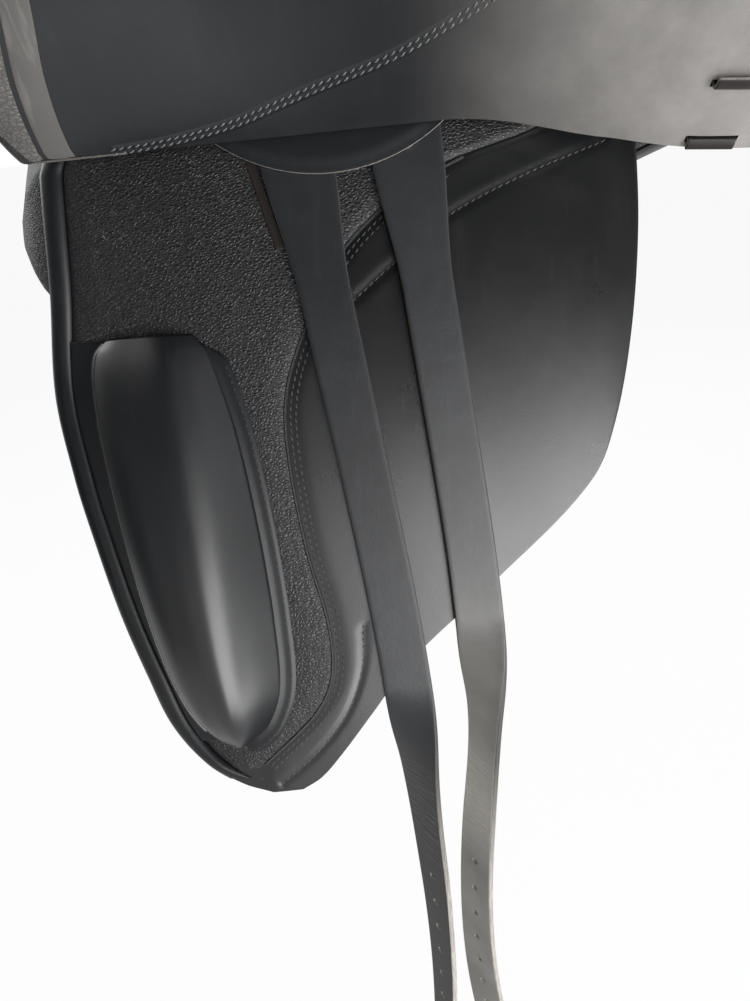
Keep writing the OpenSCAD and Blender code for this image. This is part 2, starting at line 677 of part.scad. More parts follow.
// Flap, its fixed root, facing and keeper
root_front = flap_front + 20;
root_back = strap_mid_y + 153;
module flap_root() {
    n = 5;
    m = 16;
    function pt(i, j, off) = let (
        y = mix(root_front, root_back, j / m),
        t = mix(mix(-46, -14, ease((y + 40) / 80)), hinge_t - gap, i / n))
        side_pt(y, t, flap_base + off - droop(y, t)) + [straight(y, t), 0, 0];
    color(leather) difference() {
        slab(
            [for (i = [0:n]) [for (j = [0:m]) pt(i, j, flap_t)]],
            [for (i = [0:n]) [for (j = [0:m]) pt(i, j, 0)]]);
        on_side(bar_y, -20, 0) translate([-bar_len / 2 - 14, 0, -60]) cube([bar_len + 28, 60, 120]);
    }
}
function flap_grid(t0, t1, n, m, off) = [for (i = [0:n]) let (t = down_t(t0, t1, i, n))
    [for (j = [0:m]) flap_pt(mix(flap_edge(t, 1), flap_edge(t, 2), j / m), t, off)]];
keeper_y = flap_front + 0.882 * flap_w;
keeper_t = 2;
slot_d = 4;
module on_keeper() {
    t = keeper_t + keeper_len / 2;
    rise = (flap_pt(keeper_y + 10, t, 0) - flap_pt(keeper_y - 10, t, 0)) * [cos(lean), 0, sin(lean)];
    translate(flap_pt(keeper_y, t, 0) - side_pt(keeper_y, t, 0)) on_side(keeper_y, t, 0)
        rotate([0, -atan2(rise, 20), 0]) children();
}
module keeper_slots() {
    on_keeper() for (s = [-1, 1])
        translate([-keeper_w / 2 - 1, (s * keeper_len - slot_d) / 2, -20]) cube([keeper_w + 2, slot_d, 50]);
}
module flap() {
    color(leather) difference() {
        slab(
            flap_grid(hinge_t, hinge_t + flap_len, 22, 14, flap_t),
            flap_grid(hinge_t, hinge_t + flap_len, 22, 14, 0));
        keeper_slots();
    }
}
facing_rows = [
    [0.03, 0.33],
    [0.06, 0.407],
    [0.11, 0.523],
    [0.175, 0.619],
    [0.29, 0.714],
    [0.415, 0.753],
    [0.54, 0.73],
    [0.68, 0.6],
    [0.79, 0.481],
    [0.89, 0.388],
    [0.97, 0.319]];
module flap_facing() {
    n = 20;
    m = 9;
    function pt(i, j, off) = let (
        v = down_t(0.03, 0.97, i, n),
        t = v * flap_len + hinge_t,
        rear = flap_front + flap_w * along(facing_rows, v, 1))
        flap_pt(mix(flap_edge(t, 1) + 6, rear, j / m), t, off);
    color(leather_soft) slab(
        [for (i = [0:n]) [for (j = [0:m]) pt(i, j, flap_t + 1.6 * ease_gap + facing_t)]],
        [for (i = [0:n]) [for (j = [0:m]) pt(i, j, flap_t + 1.6 * ease_gap)]]);
}
keeper_skin = 2;
keeper_room = 9.5;
module flap_keeper() {
    color(leather_worn) on_keeper() {
        translate([-keeper_w / 2, -keeper_len / 2 - 1, flap_t + keeper_room])
            cube([keeper_w, keeper_len + 2, keeper_skin]);
        for (s = [-1, 1]) let (sink = 5 - s) {
            translate([-keeper_w / 2, s * keeper_len / 2 - 1, -sink])
                cube([keeper_w, 2, flap_t + keeper_room + 1 + sink]);
            translate([-keeper_w / 2, s * (keeper_len / 2 + 3) - 4, -sink])
                cube([keeper_w, 8, keeper_skin]);
        }
    }
}

// Skirt: hangs from a straight line beside the welt and covers the stirrup bar
skirt_front = -176;
skirt_back = -40;
function skirt_end(y) = let (f = seat_f(y)) [seat_half(f) + welt_d + 1.4, y, seat_z(1, f) - 2];
function skirt_pt(u, v, off) = let (
    a = mix(skirt_end(skirt_front), skirt_end(skirt_back), v),
    y = mix(skirt_front - 12, skirt_back + 12, v),
    b = side_pt(y, -16 - 12 * pow(abs(2 * v - 1), 3), flap_base + flap_t + 1.8),
    n = unit([a.z - b.z, 0, b.x - a.x]))
    mix(a, b, u) + n * (skirt_swell * 4 * u * (1 - u) + off);
module skirt() {
    n = 8;
    m = 12;
    color(leather) slab(
        [for (i = [0:n]) [for (j = [0:m]) skirt_pt(i / n, j / m, skirt_t)]],
        [for (i = [0:n]) [for (j = [0:m]) skirt_pt(i / n, j / m, 0)]]);
}

// Stirrup bar on its plate, let into the tree rail
bar_y = -112;
bar_x = 74;
bar_sink = 2;
plate_l = bar_len + 14;
plate_w = 21;
bar_rivet_d = 5;
rivet_deep = 5;
end_w = 12;
bar_z = plate_t / 2 + bar_rise;
pivot_x = bar_len / 2 - 4;
rail_angle = atan(rail_fall);
bar_pitch = atan2(under(seat_f(bar_y - 40), bar_x) - under(seat_f(bar_y + 40), bar_x), 80);
module on_bar() {
    translate(under_pt(seat_f(bar_y), bar_x, bar_sink)) rotate([-bar_pitch, 0, 0])
        rotate([0, rail_angle - 90, 0]) rotate([90, 0, 90]) children();
}
module bar_rivet_spots() {
    for (x = [-bar_len / 2 + 22, bar_len / 2 - 16]) translate([x, 0, 0]) children();
}
module stirrup_bar() {
    color(steel) on_bar() difference() {
        union() {
            translate([-plate_l / 2, -plate_w / 2, 0]) cube([plate_l, plate_w, plate_t]);
            translate([-bar_len / 2, -end_w / 2, plate_t - 1]) cube([10, end_w, bar_z - plate_t + 1]);
            translate([-bar_len / 2, 0, bar_z]) rotate([0, 90, 0]) cylinder(d = bar_d, h = bar_len - 12);
            translate([bar_len / 2 - 14, -end_w / 2, bar_z - bar_d / 2]) cube([14, end_w, bar_d]);
        }
        translate([pivot_x - 6, -2.3, bar_z - bar_d]) cube([20, 4.6, 2 * bar_d]);
        translate([pivot_x, 0, bar_z]) rotate([90, 0, 0])
            cylinder(d = pin_d + gap / 3, h = 40, center = true);
        bar_rivet_spots() cylinder(d = bar_rivet_d + gap / 3, h = 3 * plate_t, center = true);
    }
}
module bar_catch() {
    leg = bar_z - plate_t - 1;
    color(steel) on_bar() translate([pivot_x, 0, bar_z]) difference() {
        union() {
            rotate([90, 0, 0]) cylinder(d = bar_d - 0.8, h = 4, center = true);
            translate([0, -2, 0]) cube([9, 4, bar_d / 2 - 0.4]);
            translate([6, -4, -leg]) cube([3, 8, leg + bar_d / 2 - 0.4]);
        }
        rotate([90, 0, 0]) cylinder(d = pin_d + 2 * gap, h = 40, center = true);
    }
}
module catch_pins() {
    color(steel) for (s = [0, 1]) mirror([s, 0, 0]) on_bar() translate([pivot_x, 0, bar_z])
        rotate([90, 0, 0]) cylinder(d = pin_d, h = end_w, center = true);
}
module bar_rivets() {
    color(steel) for (s = [0, 1]) mirror([s, 0, 0]) on_bar() bar_rivet_spots() {
        translate([0, 0, gap - rivet_deep]) cylinder(d = bar_rivet_d - gap / 3, h = rivet_deep + plate_t);
        translate([0, 0, plate_t + gap / 3]) cylinder(d = 1.8 * bar_rivet_d, h = 1.6);
    }
}

// Dee rings beside the pommel
dee_g = 0.0656;
dee_out = 9;
dee_down = 12;
module on_dee() {
    n = edge_out(dee_g);
    translate(edge_pt(dee_g, dee_out, dee_down)) rotate([0, 0, atan2(n.y, n.x)]) children();
}
module dee_ring() {
    r = (dee_w + dee_wire) / 2;
    color(steel) on_dee() {
        rotate([90, 0, 0]) cylinder(d = dee_wire, h = 2 * r, center = true);
        rotate([0, 90, 0]) rotate([0, 0, -90]) rotate_extrude(angle = 180, $fn = 48)
            translate([r, 0]) circle(d = dee_wire);
        for (s = [-1, 1]) translate([0, s * r, 0]) sphere(d = dee_wire);
    }
}
module dee_keepers() {
    color(leather) for (s = [0, 1]) mirror([s, 0, 0]) on_dee() difference() {
        translate([-dee_out - 1 + gap, -dee_w / 4, -dee_wire])
            cube([dee_out + 5 - gap, dee_w / 2, 2 * dee_wire]);
        rotate([90, 0, 0]) cylinder(d = dee_wire + 2 * gap, h = 2 * dee_w, center = true);
    }
}

saddle_tree();
gullet_plate();
tree_springs();
tree_rivets();
straining_web();
seat_foam();
seat_cover();
seat_welt();
pommel_facing();
cantle_facing();
panel_cover();  // panel_cover_near
off_side() panel_cover();  // panel_cover_off
panel_flock();  // panel_flock_near
off_side() panel_flock();  // panel_flock_off
panel_bridge();
sweat_flap();  // sweat_flap_near
off_side() sweat_flap();  // sweat_flap_off
edge_roll();  // edge_roll_near
off_side() edge_roll();  // edge_roll_off
grain_patch();  // grain_patch_near
off_side() grain_patch();  // grain_patch_off
block_core();  // block_core_near
off_side() block_core();  // block_core_off
knee_block();  // knee_block_near
off_side() knee_block();  // knee_block_off
girth_webs();  // girth_webs_near
off_side() girth_webs();  // girth_webs_off
strap_rivets();
strap_guard();  // strap_guard_near
off_side() strap_guard();  // strap_guard_off
flap_root();  // flap_root_near
off_side() flap_root();  // flap_root_off
lifted() flap();  // flap_near
off_side() flap();  // flap_off
lifted() flap_facing();  // flap_facing_near
off_side() flap_facing();  // flap_facing_off
lifted() flap_keeper();  // flap_keeper_near
off_side() flap_keeper();  // flap_keeper_off
skirt();  // skirt_near
off_side() skirt();  // skirt_off
girth_strap(0);  // front_strap_near
off_side() girth_strap(2, off_swing);  // front_strap_off
girth_strap(1);  // rear_strap_near
off_side() girth_strap(3, off_swing);  // rear_strap_off
stirrup_bar();  // stirrup_bar_near
off_side() stirrup_bar();  // stirrup_bar_off
bar_catch();  // bar_catch_near
off_side() bar_catch();  // bar_catch_off
catch_pins();
bar_rivets();
dee_ring();  // dee_ring_near
off_side() dee_ring();  // dee_ring_off
dee_keepers();
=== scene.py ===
"""Leather, stitching and metal of a dressage saddle with its near flap lifted."""

import math

import bpy
import numpy as np
from mathutils import Matrix, Vector


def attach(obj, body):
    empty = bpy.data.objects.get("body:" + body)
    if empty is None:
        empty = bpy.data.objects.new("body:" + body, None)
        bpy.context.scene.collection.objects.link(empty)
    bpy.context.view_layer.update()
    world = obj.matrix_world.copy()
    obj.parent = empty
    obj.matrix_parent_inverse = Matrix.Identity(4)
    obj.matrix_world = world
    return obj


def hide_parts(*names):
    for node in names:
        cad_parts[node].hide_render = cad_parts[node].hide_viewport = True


bl_info = {
    "name": "Dressage Saddle",
    "version": (1, 0, 0),
    "blender": (4, 5, 0),
    "location": "View3D > Sidebar > Saddle",
    "description": "Models the leather, stitching and metal of a dressage saddle round its frame",
    "category": "Object",
}

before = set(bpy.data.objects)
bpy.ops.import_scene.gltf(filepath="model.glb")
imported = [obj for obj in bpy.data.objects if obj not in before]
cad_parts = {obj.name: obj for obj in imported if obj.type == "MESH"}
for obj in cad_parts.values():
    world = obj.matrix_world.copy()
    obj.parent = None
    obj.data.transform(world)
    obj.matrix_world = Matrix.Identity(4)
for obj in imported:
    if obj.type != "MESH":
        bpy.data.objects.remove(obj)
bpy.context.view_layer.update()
MM = 0.001
ROOT = "seat_and_tree"


# Sizes and colours that a user would change
class SaddleSizes(bpy.types.PropertyGroup):
    stitch_pitch: bpy.props.FloatProperty(
        name="Stitch pitch", description="Distance from one stitch to the next",
        default=0.0042, unit="LENGTH")
    stitch_width: bpy.props.FloatProperty(
        name="Stitch width", description="Thickness of the sewing thread",
        default=0.0009, unit="LENGTH")
    edge_round: bpy.props.FloatProperty(
        name="Edge rounding", description="Radius of the dressed edges of the leather",
        default=0.0009, unit="LENGTH")
    hole_width: bpy.props.FloatProperty(
        name="Hole width", description="Diameter of the punched buckle holes",
        default=0.005, unit="LENGTH")
    piping: bpy.props.FloatProperty(
        name="Piping", description="Diameter of the piping round the knee blocks",
        default=0.0022, unit="LENGTH")


class SaddleColours(bpy.types.PropertyGroup):
    smooth: bpy.props.FloatVectorProperty(
        name="Smooth leather", description="Colour of the flaps and blocks",
        default=(0.0048, 0.0053, 0.0062), subtype="COLOR")
    # Pale colour of the flaps' underside: partly dust, partly painted sheen standing in for bright
    # reflected light on its rear; pale shares of it also paint the highlight along its front.
    dust_and_sheen: bpy.props.FloatVectorProperty(
        name="Dust and sheen", description="Colour of the rubbed, dusty and sheen-painted part of the flaps' underside",
        default=(0.25, 0.238, 0.225), subtype="COLOR")
    grain: bpy.props.FloatVectorProperty(
        name="Grained leather", description="Colour of the pebbled leather",
        default=(0.0055, 0.0048, 0.0051), subtype="COLOR")
    strap: bpy.props.FloatVectorProperty(
        name="Strap leather", description="Colour of the girth straps",
        default=(0.008, 0.0086, 0.0098), subtype="COLOR")
    # Pale colour of the straps' lower ends: partly rubbed wear, partly painted sheen standing in for
    # reflected light there.
    rubbed: bpy.props.FloatVectorProperty(
        name="Rubbed leather and sheen", description="Colour of the rubbed and sheen-painted ends of the straps",
        default=(0.42, 0.4, 0.365), subtype="COLOR")
    raw_edge: bpy.props.FloatVectorProperty(
        name="Raw edge", description="Colour of the cut edges of the straps",
        default=(0.34, 0.32, 0.29), subtype="COLOR")
    thread: bpy.props.FloatVectorProperty(
        name="Thread", description="Colour of the light sewing thread",
        default=(0.075, 0.077, 0.076), subtype="COLOR")
    dark_thread: bpy.props.FloatVectorProperty(
        name="Dark thread", description="Colour of the black sewing thread and edge cords",
        default=(0.006, 0.006, 0.007), subtype="COLOR")
    steel: bpy.props.FloatVectorProperty(
        name="Steel", description="Colour of the bars, rings and rivets",
        default=(0.62, 0.63, 0.65), subtype="COLOR")


# Curve helpers, in millimetres like the frame's own sizes
TINY = 1e-9


def mix(a, b, f):
    return a + (b - a) * f


def ease(v):
    c = np.clip(v, 0.0, 1.0)
    return c * c * (3 - 2 * c)


def steps(n):
    return np.linspace(0, 1, n + 1)


def crowded(v):
    """Even steps moved closer together towards both ends."""
    return (1 - np.cos(np.pi * v)) / 2


def around(n):
    return np.arange(n) * 2 * math.pi / n


def along(rows, v, k):
    """Smooth curve through column k of rows, read at v."""
    table = np.array(rows, float)
    x, y = table[:, 0], table[:, k]
    last = len(x) - 1
    i = np.clip(np.searchsorted(x, v, side="right") - 1, 0, last - 1)
    order = np.arange(last + 1)
    before, after = np.maximum(order - 1, 0), np.minimum(order + 1, last)
    tilt = (y[after] - y[before]) / (x[after] - x[before])
    h = x[i + 1] - x[i]
    f = np.clip((v - x[i]) / h, 0, 1)
    g = 1 - f
    ends = g * g * (1 + 2 * f) * y[i] + f * f * (1 + 2 * g) * y[i + 1]
    return ends + f * g * g * h * tilt[i] - f * f * g * h * tilt[i + 1]


def xyz(x, y, z):
    return np.stack(np.broadcast_arrays(np.asarray(x, float), y, z), -1)


def unit(v):
    return v / np.maximum(np.linalg.norm(v, axis=-1, keepdims=True), TINY)


def run_of(line):
    """Distance along a line at each of its points."""
    return np.concatenate([[0], np.cumsum(np.linalg.norm(np.diff(line, axis=0), axis=1))])


def read_at(spots, at, line):
    """Points of a line that is known at some places along it, read at others."""
    return np.column_stack([np.interp(spots, at, line[:, k]) for k in range(line.shape[1])])


def resample(points, step):
    """Points at equal steps along a smooth line through the given ones."""
    p = np.array(points, float)
    length = run_of(p)
    rows = np.column_stack([length, p])
    fine = np.linspace(0, length[-1], max(8, int(length[-1] / step * 6)))
    line = np.column_stack([along(rows, fine, k + 1) for k in range(p.shape[1])])
    run = run_of(line)
    count = max(2, int(round(run[-1] / step)))
    return read_at(np.linspace(0, run[-1], count + 1), run, line)


def sideways(line):
    """Directions across a line drawn on a side."""
    d = unit(np.gradient(line, axis=0))
    return np.column_stack([d[:, 1], -d[:, 0]])


def from_line(y, t, line):
    """Distance of each point of a side from a line drawn on it."""
    best = np.full(np.broadcast(y, t).shape, 1e9)
    for a, b in zip(line[:-1], line[1:]):
        d = b - a
        f = np.clip(((y - a[0]) * d[0] + (t - a[1]) * d[1]) / max(d @ d, TINY), 0, 1)
        best = np.minimum(best, np.hypot(y - a[0] - f * d[0], t - a[1] - f * d[1]))
    return best


# Side of the saddle: y along it, t down from the fold, off out from the sweat flap
LEAN = math.radians(20)
FOLD_X, FOLD_Z = 112.0, 40.0
STRAP_MID = -55.0
FLAT_HALF = 72.0
FRONT_BOW, BOW_TOP, BOW_FULL = 0.0012, 0.35, 120.0
REAR_BOW = [(50, 0), (95, 2.6), (130, 8.3), (156, 14.6), (180, 19), (205, 21.5), (235, 22.5)]
TOP_BEND = 0.009
SWEAT_T, PATCH_T, STRAP_T, GUARD_T, FLAP_T, SKIRT_T = 3.5, 1.5, 4.0, 2.0, 3.5, 3.0
PATCH_OFF = 0.45
BLOCK_OFF = 2.4
WEB_OFF = 2.4
STRAP_OFF = 4.0
GUARD_OFF = 9.8
FLAP_BASE = 13.3
OUTWARD = np.array([math.cos(LEAN), 0, math.sin(LEAN)])
UPWARD = np.array([-math.sin(LEAN), 0, math.cos(LEAN)])
REARWARD = np.array([0.0, 1.0, 0.0])


def side_bow(y, t):
    """How far the side falls away inwards, to the front and to the rear."""
    front = FRONT_BOW * np.maximum(0, STRAP_MID - y - FLAT_HALF) ** 2
    front = front * mix(BOW_TOP, 1, ease(t / BOW_FULL))
    return np.where(y < STRAP_MID, front, along(REAR_BOW, y - STRAP_MID, 1))


def side_pt(y, t, off):
    """Point of the near side."""
    x = FOLD_X + math.sin(LEAN) * t + math.cos(LEAN) * off
    return xyz(x - TOP_BEND * np.minimum(0, t) ** 2 - side_bow(y, t), y,
               FOLD_Z - math.cos(LEAN) * t + math.sin(LEAN) * off)


def down_t(t0, t1, i):
    return mix(t0, t1, mix(i, crowded(i), 0.6))


# Sweat flap and grained patch: edges as shares of their size
SWEAT_FRONT, SWEAT_W, SWEAT_LEN = STRAP_MID - 183, 344.0, 364.0
TUCK, TUCK_REAR, TUCK_FROM, TUCK_FADE, TUCK_SLOPE = 30.0, 0.3, -20.0, 80.0, 0.4
BAND_W = 12.0
SWEAT_ROWS = [
    (0, 0.04, 1), (0.165, 0.024, 0.995), (0.33, 0, 0.97), (0.467, 0.012, 0.929),
    (0.55, 0.027, 0.879), (0.687, 0.058, 0.699), (0.797, 0.093, 0.552), (0.88, 0.125, 0.474),
    (0.948, 0.18, 0.41), (0.984, 0.238, 0.37), (1, 0.285, 0.337)]
PATCH_ROWS = [
    (-0.06, 0.887), (0, 0.84), (0.044, 0.671), (0.143, 0.509), (0.277, 0.419), (0.365, 0.383),
    (0.464, 0.377), (0.607, 0.389), (0.723, 0.41), (0.81, 0.407), (0.868, 0.375), (0.934, 0.294),
    (0.96, 0.258)]


def tucked(y, t):
    """The tuck under the seat, shallower towards the rear."""
    return np.where(t < 0, t * mix(1, TUCK_REAR, ease((y - TUCK_FROM) / TUCK_FADE)), t)


def sweat_edge(t, k):
    lead = TUCK_SLOPE * np.maximum(0, -t)
    share = along(SWEAT_ROWS, np.maximum(0, t) / SWEAT_LEN, k)
    return SWEAT_FRONT + SWEAT_W * share + (lead if k == 1 else -lead)


def patch_edge(t):
    return SWEAT_FRONT + SWEAT_W * along(PATCH_ROWS, t / SWEAT_LEN, 1)


# Knee block: edges as shares of its width, and its height along and across
BLOCK_FRONT, BLOCK_TOP = SWEAT_FRONT + 28, 92.0
BLOCK_W, BLOCK_LEN, BLOCK_H = 84.0, 236.0, 33.0
BLOCK_ROWS = [
    (0, 0.12, 0.69), (0.034, 0.035, 0.76), (0.1, 0, 0.82), (0.246, 0.012, 0.905),
    (0.5, 0.095, 0.976), (0.733, 0.214, 1), (0.88, 0.345, 0.976), (0.966, 0.488, 0.87),
    (1, 0.595, 0.76)]
BLOCK_RISE = [
    (0, 0.3), (0.05, 0.5), (0.15, 0.66), (0.35, 0.84), (0.6, 1), (0.85, 1), (0.95, 0.8), (1, 0.4)]
BLOCK_CROSS = [(0, 0.5), (0.05, 0.72), (0.3, 0.86), (0.56, 1), (0.8, 0.62), (1, 0.09)]
BLOCK_CREST, CREST_AT, CREST_RUN = 0.56, (0.66, 0.54), 0.9


def block_yt(f, u):
    y = BLOCK_FRONT + BLOCK_W * mix(along(BLOCK_ROWS, f, 1), along(BLOCK_ROWS, f, 2), u)
    return y, BLOCK_TOP + BLOCK_LEN * f


def soften(rows, passes):
    """Rows of heights with their sharp bends taken off."""
    for _ in range(passes):
        inner = (rows[:, :-2] + 2 * rows[:, 1:-1] + rows[:, 2:]) / 4
        rows = np.hstack([rows[:, :1], inner, rows[:, -1:]])
    return rows


def block_height(f, u):
    """Height of the block, whose crest runs forwards as it goes down."""
    crest = mix(*CREST_AT, ease(f / CREST_RUN))
    behind = 1 - (1 - BLOCK_CREST) * (1 - u) / (1 - crest)
    v = np.where(u < crest, BLOCK_CREST * u / crest, behind)
    return BLOCK_H * along(BLOCK_RISE, f, 1) * along(BLOCK_CROSS, v, 1)


# Flap: edges as shares of its size, its stand off the sweat flap, and the turn that lifts the near one
FLAP_FRONT, FLAP_W, FLAP_LEN, HINGE_T = SWEAT_FRONT - 14, 430.0, 396.0, -4.0
FLAP_ROWS = [
    (0, 0.066, 1), (0.06, 0.046, 0.995), (0.12, 0.03, 0.975), (0.2, 0.013, 0.94), (0.319, 0, 0.885),
    (0.459, 0.012, 0.842), (0.548, 0.028, 0.79), (0.676, 0.053, 0.656), (0.778, 0.081, 0.54),
    (0.867, 0.116, 0.458), (0.944, 0.167, 0.39), (0.985, 0.221, 0.344), (1, 0.26, 0.307)]
FACING_ROWS = [
    (0.03, 0.33), (0.06, 0.407), (0.11, 0.523), (0.175, 0.619), (0.29, 0.714), (0.415, 0.753),
    (0.54, 0.73), (0.68, 0.6), (0.79, 0.481), (0.89, 0.388), (0.97, 0.319)]
FLAP_SWELL = BLOCK_OFF + BLOCK_H + 3 - FLAP_BASE
FLAP_DROOP, DROOP_FROM, DROOP_RUN = 11.0, 55.0, 75.0
DROOP_LOST, LOST_FROM, LOST_RUN = 0.6, 90.0, 120.0
SWELL_PAST, SWELL_FADE, STRAIGHT_RUN = 8.0, 100.0, 60.0
LIFT = math.radians(115)


def flap_edge(t, k):
    return FLAP_FRONT + FLAP_W * along(FLAP_ROWS, (t - HINGE_T) / FLAP_LEN, k)


def facing_edge(t):
    return FLAP_FRONT + FLAP_W * along(FACING_ROWS, (t - HINGE_T) / FLAP_LEN, 1)


def droop(y, t):
    """How far the rear of a flap hangs in, less so lower down."""
    kept = 1 - DROOP_LOST * ease((t - LOST_FROM) / LOST_RUN)
    return FLAP_DROOP * ease((y - STRAP_MID - DROOP_FROM) / DROOP_RUN) * kept


def straight(y, t):
    """Takes the bow out of a flap near its hinge, which is a straight line."""
    return np.where(y < STRAP_MID, side_bow(y, t) * (1 - ease((t - HINGE_T) / STRAIGHT_RUN)), 0)


def flap_pt(y, t, off):
    """Point of the closed near flap, which swells over the knee block."""
    swell = FLAP_SWELL * ease((t - HINGE_T) / (BLOCK_TOP + SWELL_PAST - HINGE_T))
    swell = swell * ease((BLOCK_FRONT + BLOCK_W + SWELL_FADE - y) / SWELL_FADE)
    p = side_pt(y, np.maximum(t, HINGE_T), FLAP_BASE + swell - droop(y, t) + off)
    p[..., 0] += straight(y, t)
    return p


HINGE = Vector(side_pt(STRAP_MID, HINGE_T, FLAP_BASE + FLAP_T)) * MM
LIFTED = Matrix.Translation(HINGE) @ Matrix.Rotation(-LIFT, 4, "Y") @ Matrix.Translation(-HINGE)
MIRRORED = Matrix.Scale(-1, 4, (1, 0, 0))


# Seat: share of length, pommel rise, cantle rise, share of half width, fall to the edge
SEAT_LEN, SEAT_W, POMMEL_Y = 470.0, 300.0, 222.0
SEAT_LOW, POMMEL_H, CANTLE_H = 102.0, 165.0, 181.0
COVER_T, FOAM_BOTTOM, TREE_T, RAIL_FALL, WELT_D = 2.4, 23.2, 9.0, 0.85, 6.0
SEAT_ROWS = [
    (0, 0.76, 0, 0.03, 6), (0.015, 0.89, 0, 0.2, 20), (0.05, 1, 0, 0.31, 38),
    (0.12, 0.86, 0, 0.35, 38), (0.22, 0.56, 0, 0.375, 34), (0.39, 0.11, 0, 0.48, 20),
    (0.56, 0, 0, 0.77, 15), (0.72, 0, 0.2, 0.99, 15), (0.86, 0, 0.6, 0.95, 12),
    (0.95, 0, 0.93, 0.66, 8), (0.985, 0, 1, 0.32, 5), (1, 0, 0.99, 0.04, 3)]
SEAT_DOME, RIM_STEP = 2.2, 0.006


def seat_half(f):
    return SEAT_W / 2 * along(SEAT_ROWS, f, 3)


def seat_z(u, f):
    front = along(SEAT_ROWS, f, 1) * (POMMEL_H - SEAT_LOW)
    back = along(SEAT_ROWS, f, 2) * (CANTLE_H - SEAT_LOW)
    return SEAT_LOW + (front + back) - along(SEAT_ROWS, f, 4) * np.abs(u) ** SEAT_DOME


def seat_f(y):
    return np.clip((y + POMMEL_Y) / SEAT_LEN, 0.02, 0.98)


def seat_pt(u, f, down):
    return xyz(u * seat_half(f), f * SEAT_LEN - POMMEL_Y, seat_z(u, f) - down)


def edge_pt(g, out, down):
    """Edge of the seat, once round from the front by the near side, with steps out and down."""
    def rim(h):
        near = np.where(np.sin(2 * np.pi * h) >= 0, 1.0, -1.0)
        return seat_pt(near, crowded(2 * h), 0)
    d = rim(g + RIM_STEP) - rim(g - RIM_STEP)
    n = unit(xyz(d[..., 1], -d[..., 0], 0 * d[..., 0]))
    return rim(g) + np.asarray(out)[..., None] * n - xyz(0, 0, np.asarray(down, float))


def under(f, x):
    """Underside of the foam, where the tree lies."""
    h = seat_half(f)
    fall = RAIL_FALL * np.maximum(0, np.abs(x) - h)
    return seat_z(np.minimum(1, np.abs(x) / h), f) - FOAM_BOTTOM - fall


# Panels: place, inner step, tip across, tip height, inner edge height, wall across, drop under the tree
CHANNEL_W, PANEL_CROWN = 66.0, 7.0
PANEL_ROWS = [
    (-256, 20, 88, -14, 22, 72, 52), (-246, 11, 98, -28, 30, 78, 32),
    (-222, 4, 106, -40, 34, 81, 16), (-150, 0, 114, -44, 20, 84, 9), (-60, 0, 120, -32, 4, 82, 5.5),
    (40, 0, 116, -12, 0, 82, 5.5), (100, 0, 97, 16, 10, 81, 5.5), (140, 0, 86, 28, 24, 78, 5.5),
    (180, 0, 84, 38, 40, 78, 5.5), (215, 3, 82, 54, 56, 76, 12), (240, 12, 70, 70, 68, 62, 24)]
PANEL_FRONT, PANEL_BACK = PANEL_ROWS[0][0], PANEL_ROWS[-1][0]


def panel_top(y, x):
    return under(seat_f(y), x) - TREE_T - along(PANEL_ROWS, y, 6)


def panel_ring(y):
    """Section of the near panel at y."""
    xi = CHANNEL_W / 2 + along(PANEL_ROWS, y, 1)
    xt, zt, zi, xw = (along(PANEL_ROWS, y, k) for k in (2, 3, 4, 5))
    zw = panel_top(y, xw)
    ring = [(mix(xi, xt, u), y, mix(zi, zt, u) - PANEL_CROWN * 4 * u * (1 - u))
            for u in (0, 0.25, 0.5, 0.75)]
    ring += [(xt, y, zt), (mix(xt, xw, 0.35) + 2, y, mix(zt, zw, 0.35)),
             (mix(xt, xw, 0.75) + 1, y, mix(zt, zw, 0.75)), (xw, y, zw)]
    for u in (0.45, 0.8):
        x = mix(xw, xi, u)
        ring.append((x, y, panel_top(y, x)))
    ring.append((xi, y, panel_top(y, xi + 4) - 4))
    return np.array(ring, float)


# Girth straps: their line below the rivet, with the bend and twist at the lower end
STRAP_W, STRAP_LEN, STRAP_HEAD, STRAP_GAP, RIVET_T = 28.0, 671.0, 14.0, 59.0, 2.0
HOLE_COUNT, HOLE_PITCH, TIP_MARGIN = 8, 26.0, 30.0
TIP_SHARE, TIP_LEN, HEAD_FLARE, FLARE_LEN = 0.45, 18.0, 0.42, 80.0
HEAD_Y = (STRAP_MID - STRAP_GAP / 2, STRAP_MID + STRAP_GAP / 2)
STRAP_LEAVE = (284.0, 254.0, 368.0, 328.0)
STRAP_SWAY = (
    [(0, 6), (224, 6), (344, 1.9), (444, 2.1), (671, -4.5)],
    [(0, 3.8), (194, 3.8), (314, -1.2), (414, -4.9), (671, 9.5)],
    [(0, 5.5), (368, 5.5), (448, 0)],
    [(0, 3.6), (328, 3.6), (408, 0)])
STRAP_TWIST = (
    [(306, 0), (364, 45), (464, 57), (671, 70)],
    [(268, 0), (334, 58), (434, 57), (671, 38)],
    [(368, 0), (671, 58)],
    [(328, 0), (671, 26)])
STRAP_HANG, BEND_LEN = math.radians(19), 80.0
OFF_SWING = math.radians(-5)


def strap_dir(k, s):
    """Direction in which strap k runs at each s."""
    a = STRAP_HANG * ease((s - STRAP_LEAVE[k]) / BEND_LEN)
    b = np.radians(along(STRAP_SWAY[k], s, 1))
    return xyz(np.sin(b), -np.cos(b) * np.cos(a), -np.cos(b) * np.sin(a))


